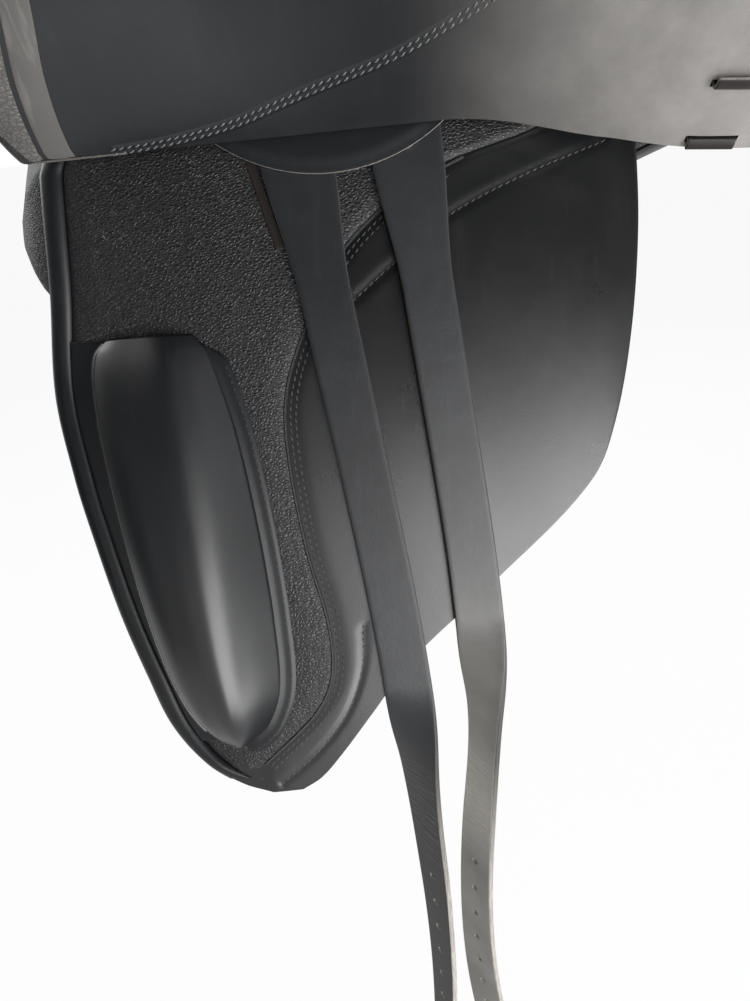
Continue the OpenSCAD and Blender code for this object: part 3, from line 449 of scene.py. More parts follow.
def strap_frames(k, s):
    """Middle, face direction and width direction of a strap at each s, in the frame of the side."""
    fine = np.arange(-STRAP_HEAD, STRAP_LEN + 0.5, 1.0)
    path = np.vstack([np.zeros(3), np.cumsum(strap_dir(k, (fine[1:] + fine[:-1]) / 2), axis=0)])
    path -= read_at([0], fine, path)
    middle = read_at(s, fine, path)
    d = strap_dir(k, s)
    face = unit(np.cross([1.0, 0, 0], d))
    face = np.where(face[:, 2:] < 0, -face, face)
    wide = unit(np.cross(face, d))
    a = np.radians(along(STRAP_TWIST[k], s, 1))[:, None]
    return middle, face * np.cos(a) - wide * np.sin(a), wide * np.cos(a) + face * np.sin(a)


def strap_half(s):
    round_tip = np.sqrt(np.maximum(0, STRAP_LEN - s) / TIP_LEN)
    tip = np.minimum(1, TIP_SHARE + (1 - TIP_SHARE) * round_tip)
    return STRAP_W / 2 * (1 + HEAD_FLARE * (1 - ease(s / FLARE_LEN))) * tip


def side_to_saddle(p):
    """Points or directions in the frame of a strap, turned onto the saddle's axes."""
    return p[..., 0:1] * REARWARD + p[..., 1:2] * UPWARD + p[..., 2:3] * OUTWARD


# Skirt: hangs from a straight line beside the welt
SKIRT_FRONT, SKIRT_BACK, SKIRT_SWELL = -176.0, -40.0, 13.0
SKIRT_BESIDE, SKIRT_UNDER, SKIRT_CLEAR = 1.4, 2.0, 1.8
SKIRT_FLARE, SKIRT_REACH, SKIRT_DIP = 12.0, 16.0, 12.0


def skirt_end(y):
    f = seat_f(np.array(y))
    return np.array([seat_half(f) + WELT_D + SKIRT_BESIDE, y, seat_z(1.0, f) - SKIRT_UNDER])


def skirt_pt(u, v, off):
    a = mix(skirt_end(SKIRT_FRONT), skirt_end(SKIRT_BACK), v[..., None])
    y = mix(SKIRT_FRONT - SKIRT_FLARE, SKIRT_BACK + SKIRT_FLARE, v)
    b = side_pt(y, -SKIRT_REACH - SKIRT_DIP * np.abs(2 * v - 1) ** 3, FLAP_BASE + FLAP_T + SKIRT_CLEAR)
    n = unit(xyz(a[..., 2] - b[..., 2], 0, b[..., 0] - a[..., 0]))
    return mix(a, b, u[..., None]) + n * (SKIRT_SWELL * 4 * u * (1 - u) + off)[..., None]


# Making of pieces
EDGE_SHARE, EDGE_STEPS, EDGE_ANGLE = 0.42, 3, math.radians(55)


def nothing_selected():
    if bpy.context.mode != "OBJECT":
        bpy.ops.object.mode_set(mode="OBJECT")
    bpy.ops.object.select_all(action="DESELECT")


def take(obj):
    nothing_selected()
    obj.select_set(True)
    bpy.context.view_layer.objects.active = obj


def apply_modifiers(obj):
    take(obj)
    for name in [m.name for m in obj.modifiers]:
        bpy.ops.object.modifier_apply(modifier=name)


def named(obj, name):
    obj.name = name
    obj.data.name = name
    return obj


def sheet(name, points, thickness, rounding=None, rim=False):
    """A leather sheet: a grid laid on points, rows down and columns rearwards seen from outside."""
    rows, cols = points.shape[:2]
    nothing_selected()
    bpy.ops.mesh.primitive_grid_add(x_subdivisions=cols - 1, y_subdivisions=rows - 1, size=2.0)
    obj = named(bpy.context.object, name)
    flat = np.empty(len(obj.data.vertices) * 3, np.float32)
    obj.data.vertices.foreach_get("co", flat)
    flat = flat.reshape(-1, 3)
    col = np.rint((flat[:, 0] + 1) / 2 * (cols - 1)).astype(int)
    row = np.rint((1 - flat[:, 1]) / 2 * (rows - 1)).astype(int)
    placed = (points[row, col] * MM).astype(np.float32)
    obj.data.vertices.foreach_set("co", placed.ravel())
    obj.data.update()
    slots_for(obj, 2 if rim else 1)
    if thickness:
        wall = obj.modifiers.new("Thickness", "SOLIDIFY")
        wall.thickness = thickness * MM
        wall.offset = -1
        wall.material_offset_rim = 1 if rim else 0
        if rounding is None or rounding > 0:
            edge = obj.modifiers.new("Edge", "BEVEL")
            usual = min(sizes().edge_round, EDGE_SHARE * thickness * MM)
            edge.width = usual if rounding is None else rounding * MM
            edge.segments = EDGE_STEPS
            edge.limit_method = "ANGLE"
            edge.angle_limit = EDGE_ANGLE
    apply_modifiers(obj)
    return obj


def loft(name, rings, loop=False, edge_columns=()):
    """A closed solid through rings of points; the columns named get the second material."""
    rings = np.asarray(rings, float)
    n, m = rings.shape[:2]
    verts = [tuple(p) for p in (rings.reshape(-1, 3) * MM)]
    faces, slots = [], []
    for i in range(n if loop else n - 1):
        for k in range(m):
            a, b = i * m, ((i + 1) % n) * m
            faces.append((a + k, a + (k + 1) % m, b + (k + 1) % m, b + k))
            slots.append(1 if k in edge_columns else 0)
    if not loop:
        for start, order in ((0, range(m - 1, -1, -1)), ((n - 1) * m, range(m))):
            verts.append(tuple(rings[start // m].mean(0) * MM))
            ends = [start + k for k in order]
            for k in range(m):
                faces.append((len(verts) - 1, ends[k], ends[(k + 1) % m]))
                slots.append(1 if edge_columns else 0)
    mesh = bpy.data.meshes.new(name)
    mesh.from_pydata(verts, [], faces)
    obj = bpy.data.objects.new(name, mesh)
    slots_for(obj, 2 if edge_columns else 1)
    mesh.polygons.foreach_set("material_index", slots)
    mesh.validate()
    bpy.context.scene.collection.objects.link(obj)
    outward_faces(obj)
    return obj


def outward_faces(obj):
    take(obj)
    bpy.ops.object.mode_set(mode="EDIT")
    bpy.ops.mesh.select_all(action="SELECT")
    bpy.ops.mesh.remove_doubles(threshold=1e-6)
    bpy.ops.mesh.normals_make_consistent(inside=False)
    bpy.ops.object.mode_set(mode="OBJECT")


def tube(name, line, radius, sides=8):
    """A round cord of leather along a line of points."""
    p = np.asarray(line, float)
    t = unit(np.gradient(p, axis=0))
    n = unit(np.cross(t, OUTWARD))
    b = np.cross(t, n)
    cos, sin = np.cos(around(sides))[None, :, None], np.sin(around(sides))[None, :, None]
    return loft(name, p[:, None] + radius * (cos * n[:, None] + sin * b[:, None]))


STITCH_RINGS = ((-0.5, 0.25), (-0.36, 0.85), (0.0, 1.0), (0.36, 0.85), (0.5, 0.25))
STITCH_SIDES, STITCH_SHARE, STITCH_FLAT, STITCH_DIP, STITCH_RISE = 6, 0.76, 0.8, 0.9, 0.25


def one_stitch():
    """Points and faces of one stitch, whose ends dip into the leather."""
    length = sizes().stitch_pitch * STITCH_SHARE / MM
    half = sizes().stitch_width / MM / 2
    points = []
    for x, r in STITCH_RINGS:
        sink = STITCH_DIP * half * (2 * x) ** 2 - STITCH_RISE * half
        for a in around(STITCH_SIDES):
            out = r * half * STITCH_FLAT * math.sin(a) - sink
            points.append((x * length, r * half * math.cos(a), out))
    m, last = STITCH_SIDES, STITCH_SIDES * (len(STITCH_RINGS) - 1)
    faces = [(i + k, i + (k + 1) % m, i + m + (k + 1) % m, i + m + k)
             for i in range(0, last, m) for k in range(m)]
    return np.array(points), faces + [tuple(range(m - 1, -1, -1)), tuple(range(last, last + m))]


def stitching(name, runs, slant=10.0):
    """Rows of thread: each run is an array of places and an array of face directions."""
    shape, shape_faces = one_stitch()
    verts, faces = [], []
    turn = math.radians(slant)
    for places, normals in runs:
        t = unit(np.gradient(places, axis=0))
        n = unit(normals - (normals * t).sum(-1, keepdims=True) * t)
        b = np.cross(n, t)
        ahead = math.cos(turn) * t + math.sin(turn) * b
        across = np.cross(n, ahead)
        for p, x, y, z in zip(places, ahead, across, n):
            base = len(verts)
            spots = p + shape[:, :1] * x + shape[:, 1:2] * y + shape[:, 2:] * z
            verts += [tuple(v) for v in spots * MM]
            faces += [tuple(base + i for i in f) for f in shape_faces]
    mesh = bpy.data.meshes.new(name)
    mesh.from_pydata(verts, [], faces)
    obj = bpy.data.objects.new(name, mesh)
    bpy.context.scene.collection.objects.link(obj)
    return obj


def on_surface(surface, line, off):
    """Stitch places and face directions along a line of (y, t) on a surface given as a function."""
    y, t = resample(line, sizes().stitch_pitch / MM).T
    p = surface(y, t, off)
    n = unit(np.cross(surface(y + 0.5, t, off) - p, surface(y, t - 0.5, off) - p))
    return p, n


def mirror(obj):
    obj.data.transform(MIRRORED)
    obj.data.flip_normals()


def mirror_copy(obj):
    """A copy of a piece for the other side of the saddle."""
    other = obj.copy()
    other.data = obj.data.copy()
    bpy.context.scene.collection.objects.link(other)
    mirror(other)
    return other


def joined(first, second):
    take(first)
    second.select_set(True)
    bpy.ops.object.join()
    return first


def both_sides(obj, base, lift):
    """The near piece, lifted with its flap where asked, and its mirror copy for the off side."""
    other = mirror_copy(obj)
    if lift:
        obj.data.transform(LIFTED)
    return {"near": named(obj, base + "_near"), "off": named(other, base + "_off")}


def slots_for(obj, count):
    """Gives a piece its material slots, so that faces keep theirs through the modifiers."""
    while len(obj.data.materials) < count:
        obj.data.materials.append(None)


def settle(obj, body, materials, nodes=(), angle=40.0):
    """Finishes a piece: its materials, smooth faces, the body it rides on, the nodes it replaces."""
    slots_for(obj, len(materials))
    for i, material in enumerate(materials):
        obj.data.materials[i] = material
    take(obj)
    bpy.ops.object.shade_smooth_by_angle(angle=math.radians(angle))
    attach(obj, body)
    if nodes:
        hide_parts(*nodes)
    return obj


def settle_pair(obj, base, body, materials, nodes=(), angle=40.0):
    """Finishes a near piece and its off copy; pieces of the near flap are lifted with it."""
    pair = both_sides(obj, base, lift=body == "flap")
    for side, piece in pair.items():
        name = body if body == ROOT else f"{body}_{side}"
        settle(piece, name, materials, [f"{n}_{side}" for n in nodes], angle)
    return pair


def cut(obj, cutters):
    """Takes the cutters' shapes out of a piece."""
    for cutter in cutters:
        hole = obj.modifiers.new("Hole", "BOOLEAN")
        hole.operation = "DIFFERENCE"
        hole.solver = "EXACT"
        hole.object = cutter
    apply_modifiers(obj)
    for cutter in cutters:
        bpy.data.objects.remove(cutter)


def sizes():
    return bpy.context.scene.saddle_sizes


def colours():
    return bpy.context.scene.saddle_colours


# Shared shader effects
class Graph:
    """Short hand for adding and joining shader nodes."""

    def __init__(self, tree):
        self.tree = tree

    def put(self, socket, value):
        """Joins a value to a socket, or sets it there."""
        if hasattr(value, "is_linked"):
            self.tree.links.new(value, socket)
        else:
            socket.default_value = value

    def add(self, kind, inputs=None, **settings):
        node = self.tree.nodes.new(kind)
        for key, value in settings.items():
            setattr(node, key, value)
        for key, value in (inputs or {}).items():
            self.put(node.inputs[key], value)
        return node

    def math(self, operation, a, b=0.0, clamp=False):
        node = self.add("ShaderNodeMath", {0: a, 1: b}, operation=operation, use_clamp=clamp)
        return node.outputs[0]

    def times(self, a, b):
        return self.math("MULTIPLY", a, b)

    def plus(self, start, value, share):
        """The start with a share of a value added."""
        return self.math("ADD", start, self.times(value, share))

    def vector(self, operation, a, b):
        return self.add("ShaderNodeVectorMath", {0: a, 1: b}, operation=operation).outputs[0]

    def scaled(self, vector, scale):
        return self.add("ShaderNodeMapping", {"Vector": vector, "Scale": scale}).outputs["Vector"]

    def axis(self, vector, name):
        return self.add("ShaderNodeSeparateXYZ", {"Vector": vector}).outputs[name]

    def noise(self, vector, scale=1.0, **values):
        node = self.add("ShaderNodeTexNoise", {"Vector": vector, "Scale": scale, **values})
        return node.outputs["Fac"]

    def bands(self, vector, scale, direction, **values):
        node = self.add("ShaderNodeTexWave", {"Vector": vector, "Scale": scale, **values},
                        bands_direction=direction)
        return node.outputs["Fac"]

    def spread(self, value, low, high, soft=False):
        """A value taken from the given range to 0 and 1, with soft ends if asked."""
        node = self.add("ShaderNodeMapRange", {"Value": value, "From Min": low, "From Max": high},
                        interpolation_type="SMOOTHSTEP" if soft else "LINEAR")
        return node.outputs["Result"]

    def blend(self, share, a, b):
        node = self.add("ShaderNodeMix", data_type="RGBA")
        for socket, value in zip((node.inputs[0], node.inputs[6], node.inputs[7]), (share, a, b)):
            self.put(socket, value)
        return node.outputs[2]


def effect(name, inputs, outputs, build):
    """A shader node group, built once."""
    found = bpy.data.node_groups.get(name)
    if found:
        return found
    tree = bpy.data.node_groups.new(name, "ShaderNodeTree")
    for socket, kind, value in inputs:
        made = tree.interface.new_socket(socket, in_out="INPUT", socket_type=kind)
        if value is not None:
            made.default_value = value
    for socket in outputs:
        tree.interface.new_socket(socket, in_out="OUTPUT", socket_type="NodeSocketFloat")
    g = Graph(tree)
    start, end = g.add("NodeGroupInput"), g.add("NodeGroupOutput")
    for socket, value in build(g, start.outputs).items():
        tree.links.new(value, end.inputs[socket])
    return tree


PLACE_INPUT = ("Vector", "NodeSocketVector", None)
PEBBLE_DRIFT, PEBBLE_STRETCH = 0.0013, (1.0, 0.72, 1.0)
STREAK_STRETCH = (40.0, 240.0, 30.0)


def pebble_grain():
    """Rounded pebbles of a natural grain, longer along the saddle, with fine creases between them."""
    def build(g, given):
        place = given["Vector"]
        drift = g.add("ShaderNodeTexNoise", {"Vector": place, "Scale": 330.0, "Detail": 1.0})
        shift = g.vector("SUBTRACT", drift.outputs["Color"], (0.5, 0.5, 0.5))
        spot = g.vector("ADD", place, g.vector("MULTIPLY", shift, (PEBBLE_DRIFT,) * 3))
        laid = g.scaled(spot, PEBBLE_STRETCH)
        cells = g.add("ShaderNodeTexVoronoi", {"Vector": laid, "Scale": given["Scale"]},
                      feature="DISTANCE_TO_EDGE").outputs["Distance"]
        level = g.noise(place, 240.0, Detail=2.0)
        height = g.times(g.spread(cells, 0.0, 0.34, soft=True), g.plus(0.55, level, 0.9))
        return {"Height": height, "Valley": g.spread(cells, 0.13, 0.0)}
    return effect("Pebble Grain", [PLACE_INPUT, ("Scale", "NodeSocketFloat", 700.0)],
                  ["Height", "Valley"], build)


def hide_pores():
    """Fine pores and faint creases of smooth dressed leather."""
    def build(g, given):
        pore = g.noise(given["Vector"], 1300.0, Detail=2.0, Roughness=0.6)
        wave = g.noise(given["Vector"], 95.0, Detail=3.0)
        return {"Height": g.plus(g.times(pore, 0.4), wave, given["Crease"])}
    return effect("Hide Pores", [PLACE_INPUT, ("Crease", "NodeSocketFloat", 0.6)], ["Height"], build)


def handling_marks():
    """Cloudy wear and long rubbed streaks from use."""
    def build(g, given):
        cloud = g.noise(given["Vector"], 11.0, Detail=5.0, Roughness=0.62)
        streak = g.noise(g.scaled(given["Vector"], STREAK_STRETCH), Detail=3.0, Distortion=0.6)
        return {"Cloud": g.spread(cloud, 0.32, 0.7), "Streak": g.spread(streak, 0.56, 0.76)}
    return effect("Handling Marks", [PLACE_INPUT], ["Cloud", "Streak"], build)


# Finishes
def new_material(name):
    material = bpy.data.materials.new(name)
    material.use_nodes = True
    tree = material.node_tree
    tree.nodes.clear()
    g = Graph(tree)
    out = g.add("ShaderNodeOutputMaterial")
    shader = g.add("ShaderNodeBsdfPrincipled")
    tree.links.new(shader.outputs[0], out.inputs["Surface"])
    place = g.add("ShaderNodeTexCoord").outputs["Object"]
    return material, g, shader, place


def tint(colour, factor=1.0):
    return tuple(c * factor for c in colour)


def shade(colour, factor):
    return (*tint(colour, factor), 1.0)


def use(g, group, vector, **values):
    return g.add("ShaderNodeGroup", {"Vector": vector, **values}, node_tree=group).outputs


def dressed(g, shader, base, rough, height, depth, gloss=0.5):
    """Joins colour, roughness and relief to a shader, and sets its gloss."""
    relief = g.add("ShaderNodeBump", {"Height": height, "Distance": depth, "Strength": 1.0})
    g.put(shader.inputs["Base Color"], base)
    g.put(shader.inputs["Roughness"], rough)
    g.put(shader.inputs["Normal"], relief.outputs["Normal"])
    shader.inputs["Specular IOR Level"].default_value = gloss


# Span, in the flap's own space, over which the painted sheen and dust fade in towards the rear
DUST_AND_SHEEN_Y = (-0.03, 0.11)
CREASED_Z, CREASED_HALF, WEAR_AND_SHEEN_SPAN = -0.345, 0.055, 0.18
PAINTED_Z = (-0.42, -0.3)
GRAIN_GLOSS = 0.42


def smooth_leather(name, colour, rough=0.4, depth=0.00012, crease=0.6, wear=1.6, gloss=0.3, dust_and_sheen=None):
    """Dressed leather with fine pores, cloudy wear and streaks, and, if asked, a pale colour towards the
    rear that is partly dust and partly painted sheen.
    """
    material, g, shader, place = new_material(name)
    marks = use(g, handling_marks(), place)
    pores = use(g, hide_pores(), place, Crease=crease)
    base = g.blend(g.times(marks["Cloud"], 0.8), shade(colour, 0.75), shade(colour, wear))
    base = g.blend(g.times(marks["Streak"], 0.35), base, shade(colour, 2.4))
    # Painted sheen: towards the rear the colour turns pale, standing in partly for reflected light and
    # partly for dust.
    if dust_and_sheen:
        rear = g.spread(g.axis(place, "Y"), *DUST_AND_SHEEN_Y, soft=True)
        dust_and_sheen_share = g.times(rear, g.plus(0.45, marks["Cloud"], 0.55))
        base = g.blend(dust_and_sheen_share, base, shade(dust_and_sheen, 1.0))
    uneven = g.plus(g.plus(rough - 0.02, marks["Cloud"], 0.045), marks["Streak"], 0.02)
    dressed(g, shader, base, uneven, pores["Height"], depth, gloss)
    return material


def grain_leather(name, colour, rough=0.43, scale=600.0, depth=0.0002):
    """Leather with a pebbled face, darker in its valleys."""
    material, g, shader, place = new_material(name)
    marks = use(g, handling_marks(), place)
    pebbles = use(g, pebble_grain(), place, Scale=scale)
    base = g.blend(g.times(marks["Cloud"], 0.7), shade(colour, 0.8), shade(colour, 1.5))
    base = g.blend(g.math("MULTIPLY", pebbles["Valley"], 0.75, True), base, shade(colour, 0.4))
    uneven = g.plus(rough, pebbles["Valley"], 0.22)
    dressed(g, shader, base, uneven, pebbles["Height"], depth, GRAIN_GLOSS)
    return material


def strap_leather(name, colour, rubbed, gloss, wear_and_sheen_from):
    """Strap leather that turns grey and creased towards its lower end, through rubbed wear and painted
    sheen.
    """
    material, g, shader, place = new_material(name)
    marks = use(g, handling_marks(), place)
    pores = use(g, hide_pores(), place, Crease=0.8)
    height = g.axis(place, "Z")
    low = g.spread(height, wear_and_sheen_from, wear_and_sheen_from - WEAR_AND_SHEEN_SPAN, soft=True)
    from_crease = g.math("DIVIDE", g.math("SUBTRACT", height, CREASED_Z), CREASED_HALF)
    creased = g.math("SUBTRACT", 1.0, g.math("ABSOLUTE", from_crease), True)
    crease = g.noise(g.scaled(place, (70.0, 70.0, 430.0)), Detail=2.5, Distortion=0.5)
    base = g.blend(g.times(marks["Cloud"], 0.8), shade(colour, 0.8), shade(colour, 1.7))
    base = g.blend(g.times(marks["Streak"], 0.4), base, shade(colour, 2.6))
    # Painted sheen and wear: the lower end and the creased band are blended towards the pale rubbed
    # colour.
    base = g.blend(g.times(low, g.plus(0.55, marks["Cloud"], 0.45)), base, shade(rubbed, 1.0))
    base = g.blend(g.times(creased, 0.6), base, shade(rubbed, 1.8))
    depth = g.plus(g.plus(0.02, low, 0.5), creased, 2.2)
    relief = g.plus(pores["Height"], g.spread(crease, 0.4, 0.62), depth)
    dressed(g, shader, base, g.plus(0.4, low, 0.2), relief, 0.00018, gloss)
    return material


def raw_edge(name, colour, painted=False):
    """Cut edge with layers of fibre along it; painted black above the rubbed lower end if asked."""
    material, g, shader, place = new_material(name)
    marks = use(g, handling_marks(), place)
    fibre = g.noise(g.scaled(place, (1500.0, 1500.0, 90.0)), Detail=2.0)
    base = g.blend(g.spread(fibre, 0.35, 0.7), shade(colour, 0.55), shade(colour, 1.1))
    base = g.blend(g.times(marks["Cloud"], 0.5), base, shade(colour, 0.35))
    if painted:
        base = g.blend(g.spread(g.axis(place, "Z"), *PAINTED_Z), base, shade(colour, 0.08))
    dressed(g, shader, base, 0.62, fibre, 0.00015)
    return material


def sewing_thread(name, colour):
    """Twisted thread with a little wax on it."""
    material, g, shader, place = new_material(name)
    twist = g.noise(place, 2600.0, Detail=1.0)
    base = g.blend(twist, shade(colour, 0.7), shade(colour, 2.2))
    dressed(g, shader, base, 0.5, twist, 0.0002)
    return material


def brushed_steel(name, colour):
    """Satin steel with fine brushing and a few dull patches."""
    material, g, shader, place = new_material(name)
    brush = g.noise(g.scaled(place, (2200.0, 160.0, 2200.0)), Detail=3.0)
    marks = use(g, handling_marks(), place)
    base = g.blend(marks["Cloud"], shade(colour, 0.82), shade(colour, 1.0))
    rough = g.plus(g.plus(0.22, brush, 0.2), marks["Cloud"], 0.08)
    dressed(g, shader, base, rough, brush, 0.00004)
    shader.inputs["Metallic"].default_value = 1.0
    return material


def plywood(name):
    """Laminated beech with the lines of its plies, stained black."""
    material, g, shader, place = new_material(name)
    ply = g.bands(place, 210.0, "Z", Distortion=1.5, Detail=2.0)
    fibre = g.noise(g.scaled(place, (700.0, 30.0, 700.0)))
    base = g.blend(ply, (0.016, 0.014, 0.013, 1), (0.026, 0.022, 0.019, 1))
    base = g.blend(g.times(fibre, 0.5), base, (0.01, 0.009, 0.008, 1))
    dressed(g, shader, base, 0.6, fibre, 0.0001)
    return material


def webbing(name):
    """Woven girth web."""
    material, g, shader, place = new_material(name)
    warp = g.bands(place, 190.0, "Y", Distortion=0.3)
    weft = g.bands(place, 240.0, "Z", Distortion=0.3)
    weave = g.times(warp, weft)
    base = g.blend(weave, (0.03, 0.028, 0.025, 1), (0.11, 0.1, 0.09, 1))
    dressed(g, shader, base, 0.85, weave, 0.0004)
    return material


def recipes():
    """How each finish is made from the user's colours."""
    c = colours()
    smooth, grain, dust_and_sheen, strap = tint(c.smooth), tint(c.grain), tint(c.dust_and_sheen), tint(c.strap)
    return {
        "flap leather": lambda: smooth_leather("Flap Leather", smooth, 0.4, crease=0.5),
        "flap underside": lambda: smooth_leather(
            "Flap Underside", smooth, 0.42, crease=0.5, gloss=0.44, dust_and_sheen=dust_and_sheen),
        "under leather": lambda: smooth_leather(
            "Sweat Flap Leather", tint(smooth, 0.45), 0.29, crease=0.35, gloss=0.54),
        "block leather": lambda: smooth_leather(
            "Knee Block Leather", smooth, 0.36, 0.00004, 0.25, 1.3, 0.58),
        "band leather": lambda: smooth_leather("Band Leather", smooth, 0.36, 0.00008, 0.4),
        # Fold leather is a pale share of the dust-and-sheen colour: painted highlight along the front of
        # the flap's underside.
        "fold leather": lambda: smooth_leather("Fold Leather", tint(dust_and_sheen, 0.34), 0.46, wear=1.1),
        "tab leather": lambda: smooth_leather("Tab Leather", (0.007, 0.004, 0.004), 0.5),
        "seat leather": lambda: grain_leather("Seat Leather", grain, 0.42, 900.0, 0.00016),
        "grained leather": lambda: grain_leather("Grained Leather", grain),
        # The lining's pale share of the same colour is also painted highlight along the front of the
        # underside.
        "lining leather": lambda: grain_leather("Lining Leather", tint(dust_and_sheen, 0.3), 0.5, 430.0, 0.0003),
        # The rear straps get far more of the pale rubbed colour than the front ones: rubbed wear, and
        # painted sheen on their lower ends.
        "strap leather": lambda: strap_leather(
            "Strap Leather", strap, tint(c.rubbed, 0.02), 0.36, -0.23),
        "rubbed and sheen leather": lambda: strap_leather(
            "Rubbed And Sheen Strap Leather", strap, tint(c.rubbed, 0.72), 0.5, -0.15),
        "strap edge": lambda: raw_edge("Strap Edge", tint(c.raw_edge), painted=True),
        "raw edge": lambda: raw_edge("Raw Edge", tint(c.raw_edge)),
        "thread": lambda: sewing_thread("Thread", tint(c.thread)),
        "grey thread": lambda: sewing_thread("Grey Thread", tint(c.thread, 0.3)),
        "dark thread": lambda: sewing_thread("Dark Thread", tint(c.dark_thread)),
        "steel": lambda: brushed_steel("Satin Steel", tint(c.steel)),
        "plywood": lambda: plywood("Laminated Wood"),
        "webbing": lambda: webbing("Girth Web"),
    }


FINISHES = {}


def finish(name):
    """A finish by its name, made on its first use."""
    if name not in FINISHES:
        FINISHES[name] = recipes()[name]()
    return FINISHES[name]


def finishes(*names):
    return [finish(n) for n in names]


# Seat
SEAT_SPAN = (-0.007, 1.005)
SEAT_SEAM = [(0.05, 0.5), (0.2, 0.52), (0.4, 0.6), (0.6, 0.64), (0.8, 0.6), (0.95, 0.5)]
FURROW_H, FURROW_W, LIP_H, LIP_AT, LIP_W = 1.8, 2.4, 0.7, 8.0, 5.0
SEAM_SPAN, SEAM_STITCHES, SEAM_GAP, SEAM_SINK = (0.1, 0.93), 108, 4.2, 0.1
WELT_STEPS, WELT_SIDES, WELT_OUT = 220, 12, 0.45
FACINGS = (
    ("pommel_leather", "pommel_facing", (-0.14, 0.14), (30, 5), 100),
    ("cantle_leather", "cantle_facing", (0.31, 0.69), (44, 16), 150))
FACING_BELOW, FACING_PUFF = 1.4, 1.4


def furrow(u, f):
    """Depth of the two sewn furrows along the seat, with a soft lip on either side of each."""
    room = ease((f - 0.04) / 0.08) * ease((0.97 - f) / 0.06)
    d = (np.abs(u) - along(SEAT_SEAM, f, 1)) * seat_half(f)
    lip = LIP_H * np.exp(-((np.abs(d) - LIP_AT) / LIP_W) ** 2)
    return room * (FURROW_H * np.exp(-(d / FURROW_W) ** 2) - lip)


def seat_seams():
    """Rows of stitches on both sides of each furrow."""
    f = mix(*SEAM_SPAN, steps(SEAM_STITCHES))
    runs = []
    for sign in (1, -1):
        for gap in (-SEAM_GAP, SEAM_GAP):
            share = sign * (along(SEAT_SEAM, f, 1) + gap / seat_half(f))
            p = seat_pt(share, f, SEAM_SINK)
            across = seat_pt(share + 0.01, f, SEAM_SINK) - p
            ahead = seat_pt(share, f + 0.001, SEAM_SINK) - p
            runs.append((p, unit(np.cross(across, ahead))))
    return stitching("seat_stitching", runs)


class SADDLE_OT_seat(bpy.types.Operator):
    """Seat leather over the foam, with its sewn seams, welt, pommel facing and cantle facing"""

    bl_idname = "saddle.seat"
    bl_label = "Seat"

    def execute(self, context):
        f = mix(*SEAT_SPAN, crowded(steps(150)))[:, None]
        u = (1 - 2 * steps(110))[None, :]
        cover = sheet("seat_leather", seat_pt(u, f, furrow(u, f)), COVER_T)
        settle(cover, ROOT, finishes("seat leather"),
               ["seat_cover", "seat_foam", "straining_web"])
        settle(seat_seams(), ROOT, finishes("thread"))

        turn = np.arange(WELT_STEPS) / WELT_STEPS
        rings = []
        for a in around(WELT_SIDES):
            out = WELT_D / 2 * (1 + math.cos(a)) + WELT_OUT
            rings.append(edge_pt(turn, out, COVER_T - WELT_D / 2 * math.sin(a)))
        welt = loft("seat_welt_leather", np.stack(rings, 1), loop=True)
        settle(welt, ROOT, finishes("band leather"), ["seat_welt"])

        for name, node, span, heights, count in FACINGS:
            turn = mix(*span, steps(count))[None, :]
            fall = mix(*heights, ease(np.abs(turn - sum(span) / 2) * 2 / (span[1] - span[0])))
            v = steps(16)[:, None]
            puff = FACING_PUFF * np.sin(np.pi * v) ** 0.7 - 1
            points = edge_pt(turn + 0 * v, puff + 0 * turn, COVER_T + FACING_BELOW + v * fall)
            settle(sheet(name, points, COVER_T), ROOT, finishes("seat leather"), [node])
        return {"FINISHED"}


# Panels
PANEL_STEPS, PANEL_SIDES, RING_TIP, RING_WALL = 90, 56, 4, 7
END_STEPS, END_START, END_REACH = 22, 0.4, 3.4
PIPED, PIPING_R = slice(16, -6), 1.9
BRIDGE_SPAN, BRIDGE_DROP, BRIDGE_SAG, BRIDGE_T = (-148, 190), 8.0, 2.5, 2.0


class SADDLE_OT_panels(bpy.types.Operator):
    """Wool panels under the tree, with piping along their lower edge and leather across the channel"""

    bl_idname = "saddle.panels"
    bl_label = "Panels"

    def execute(self, context):
        s = steps(PANEL_STEPS)
        rings, rolled = [], []
        for i, y in enumerate(mix(PANEL_FRONT, PANEL_BACK, mix(s, crowded(s), 0.7))):
            ring = panel_ring(y)
            middle = ring.mean(0)
            from_end = min(i, PANEL_STEPS - i) * END_STEPS / PANEL_STEPS
            share = math.sqrt(1 - max(0, 1 - (from_end + END_START) / END_REACH) ** 2)
            ring = middle + (ring - middle) * share
            rolled.append(ring[RING_TIP])
            fine = resample(np.vstack([ring[RING_WALL:], ring[:RING_WALL + 1]]), 3.0)
            spots = np.linspace(0, len(fine) - 1, PANEL_SIDES + 1)[:-1]
            rings.append(read_at(spots, np.arange(len(fine)), fine))
        pair = settle_pair(loft("panel", rings), "panel_leather", ROOT, finishes("seat leather"),
                           ["panel_cover", "panel_flock"], 60)
        piping = tube("piping", resample(np.array(rolled)[PIPED], 4.0), PIPING_R)
        settle_pair(piping, "panel_piping", ROOT, finishes("band leather"))

        half = CHANNEL_W / 2 - 1
        y = mix(*BRIDGE_SPAN, steps(60))[:, None]
        x = (half * (1 - 2 * steps(24)))[None, :]
        sag = BRIDGE_SAG * (1 - (x / half) ** 2)
        points = xyz(x, y, panel_top(y, CHANNEL_W / 2 + 4) - BRIDGE_DROP - sag)
        bridge = sheet("channel_leather", points, BRIDGE_T)
        settle(bridge, ROOT, finishes("seat leather"), ["panel_bridge"])
        return {"FINISHED"}


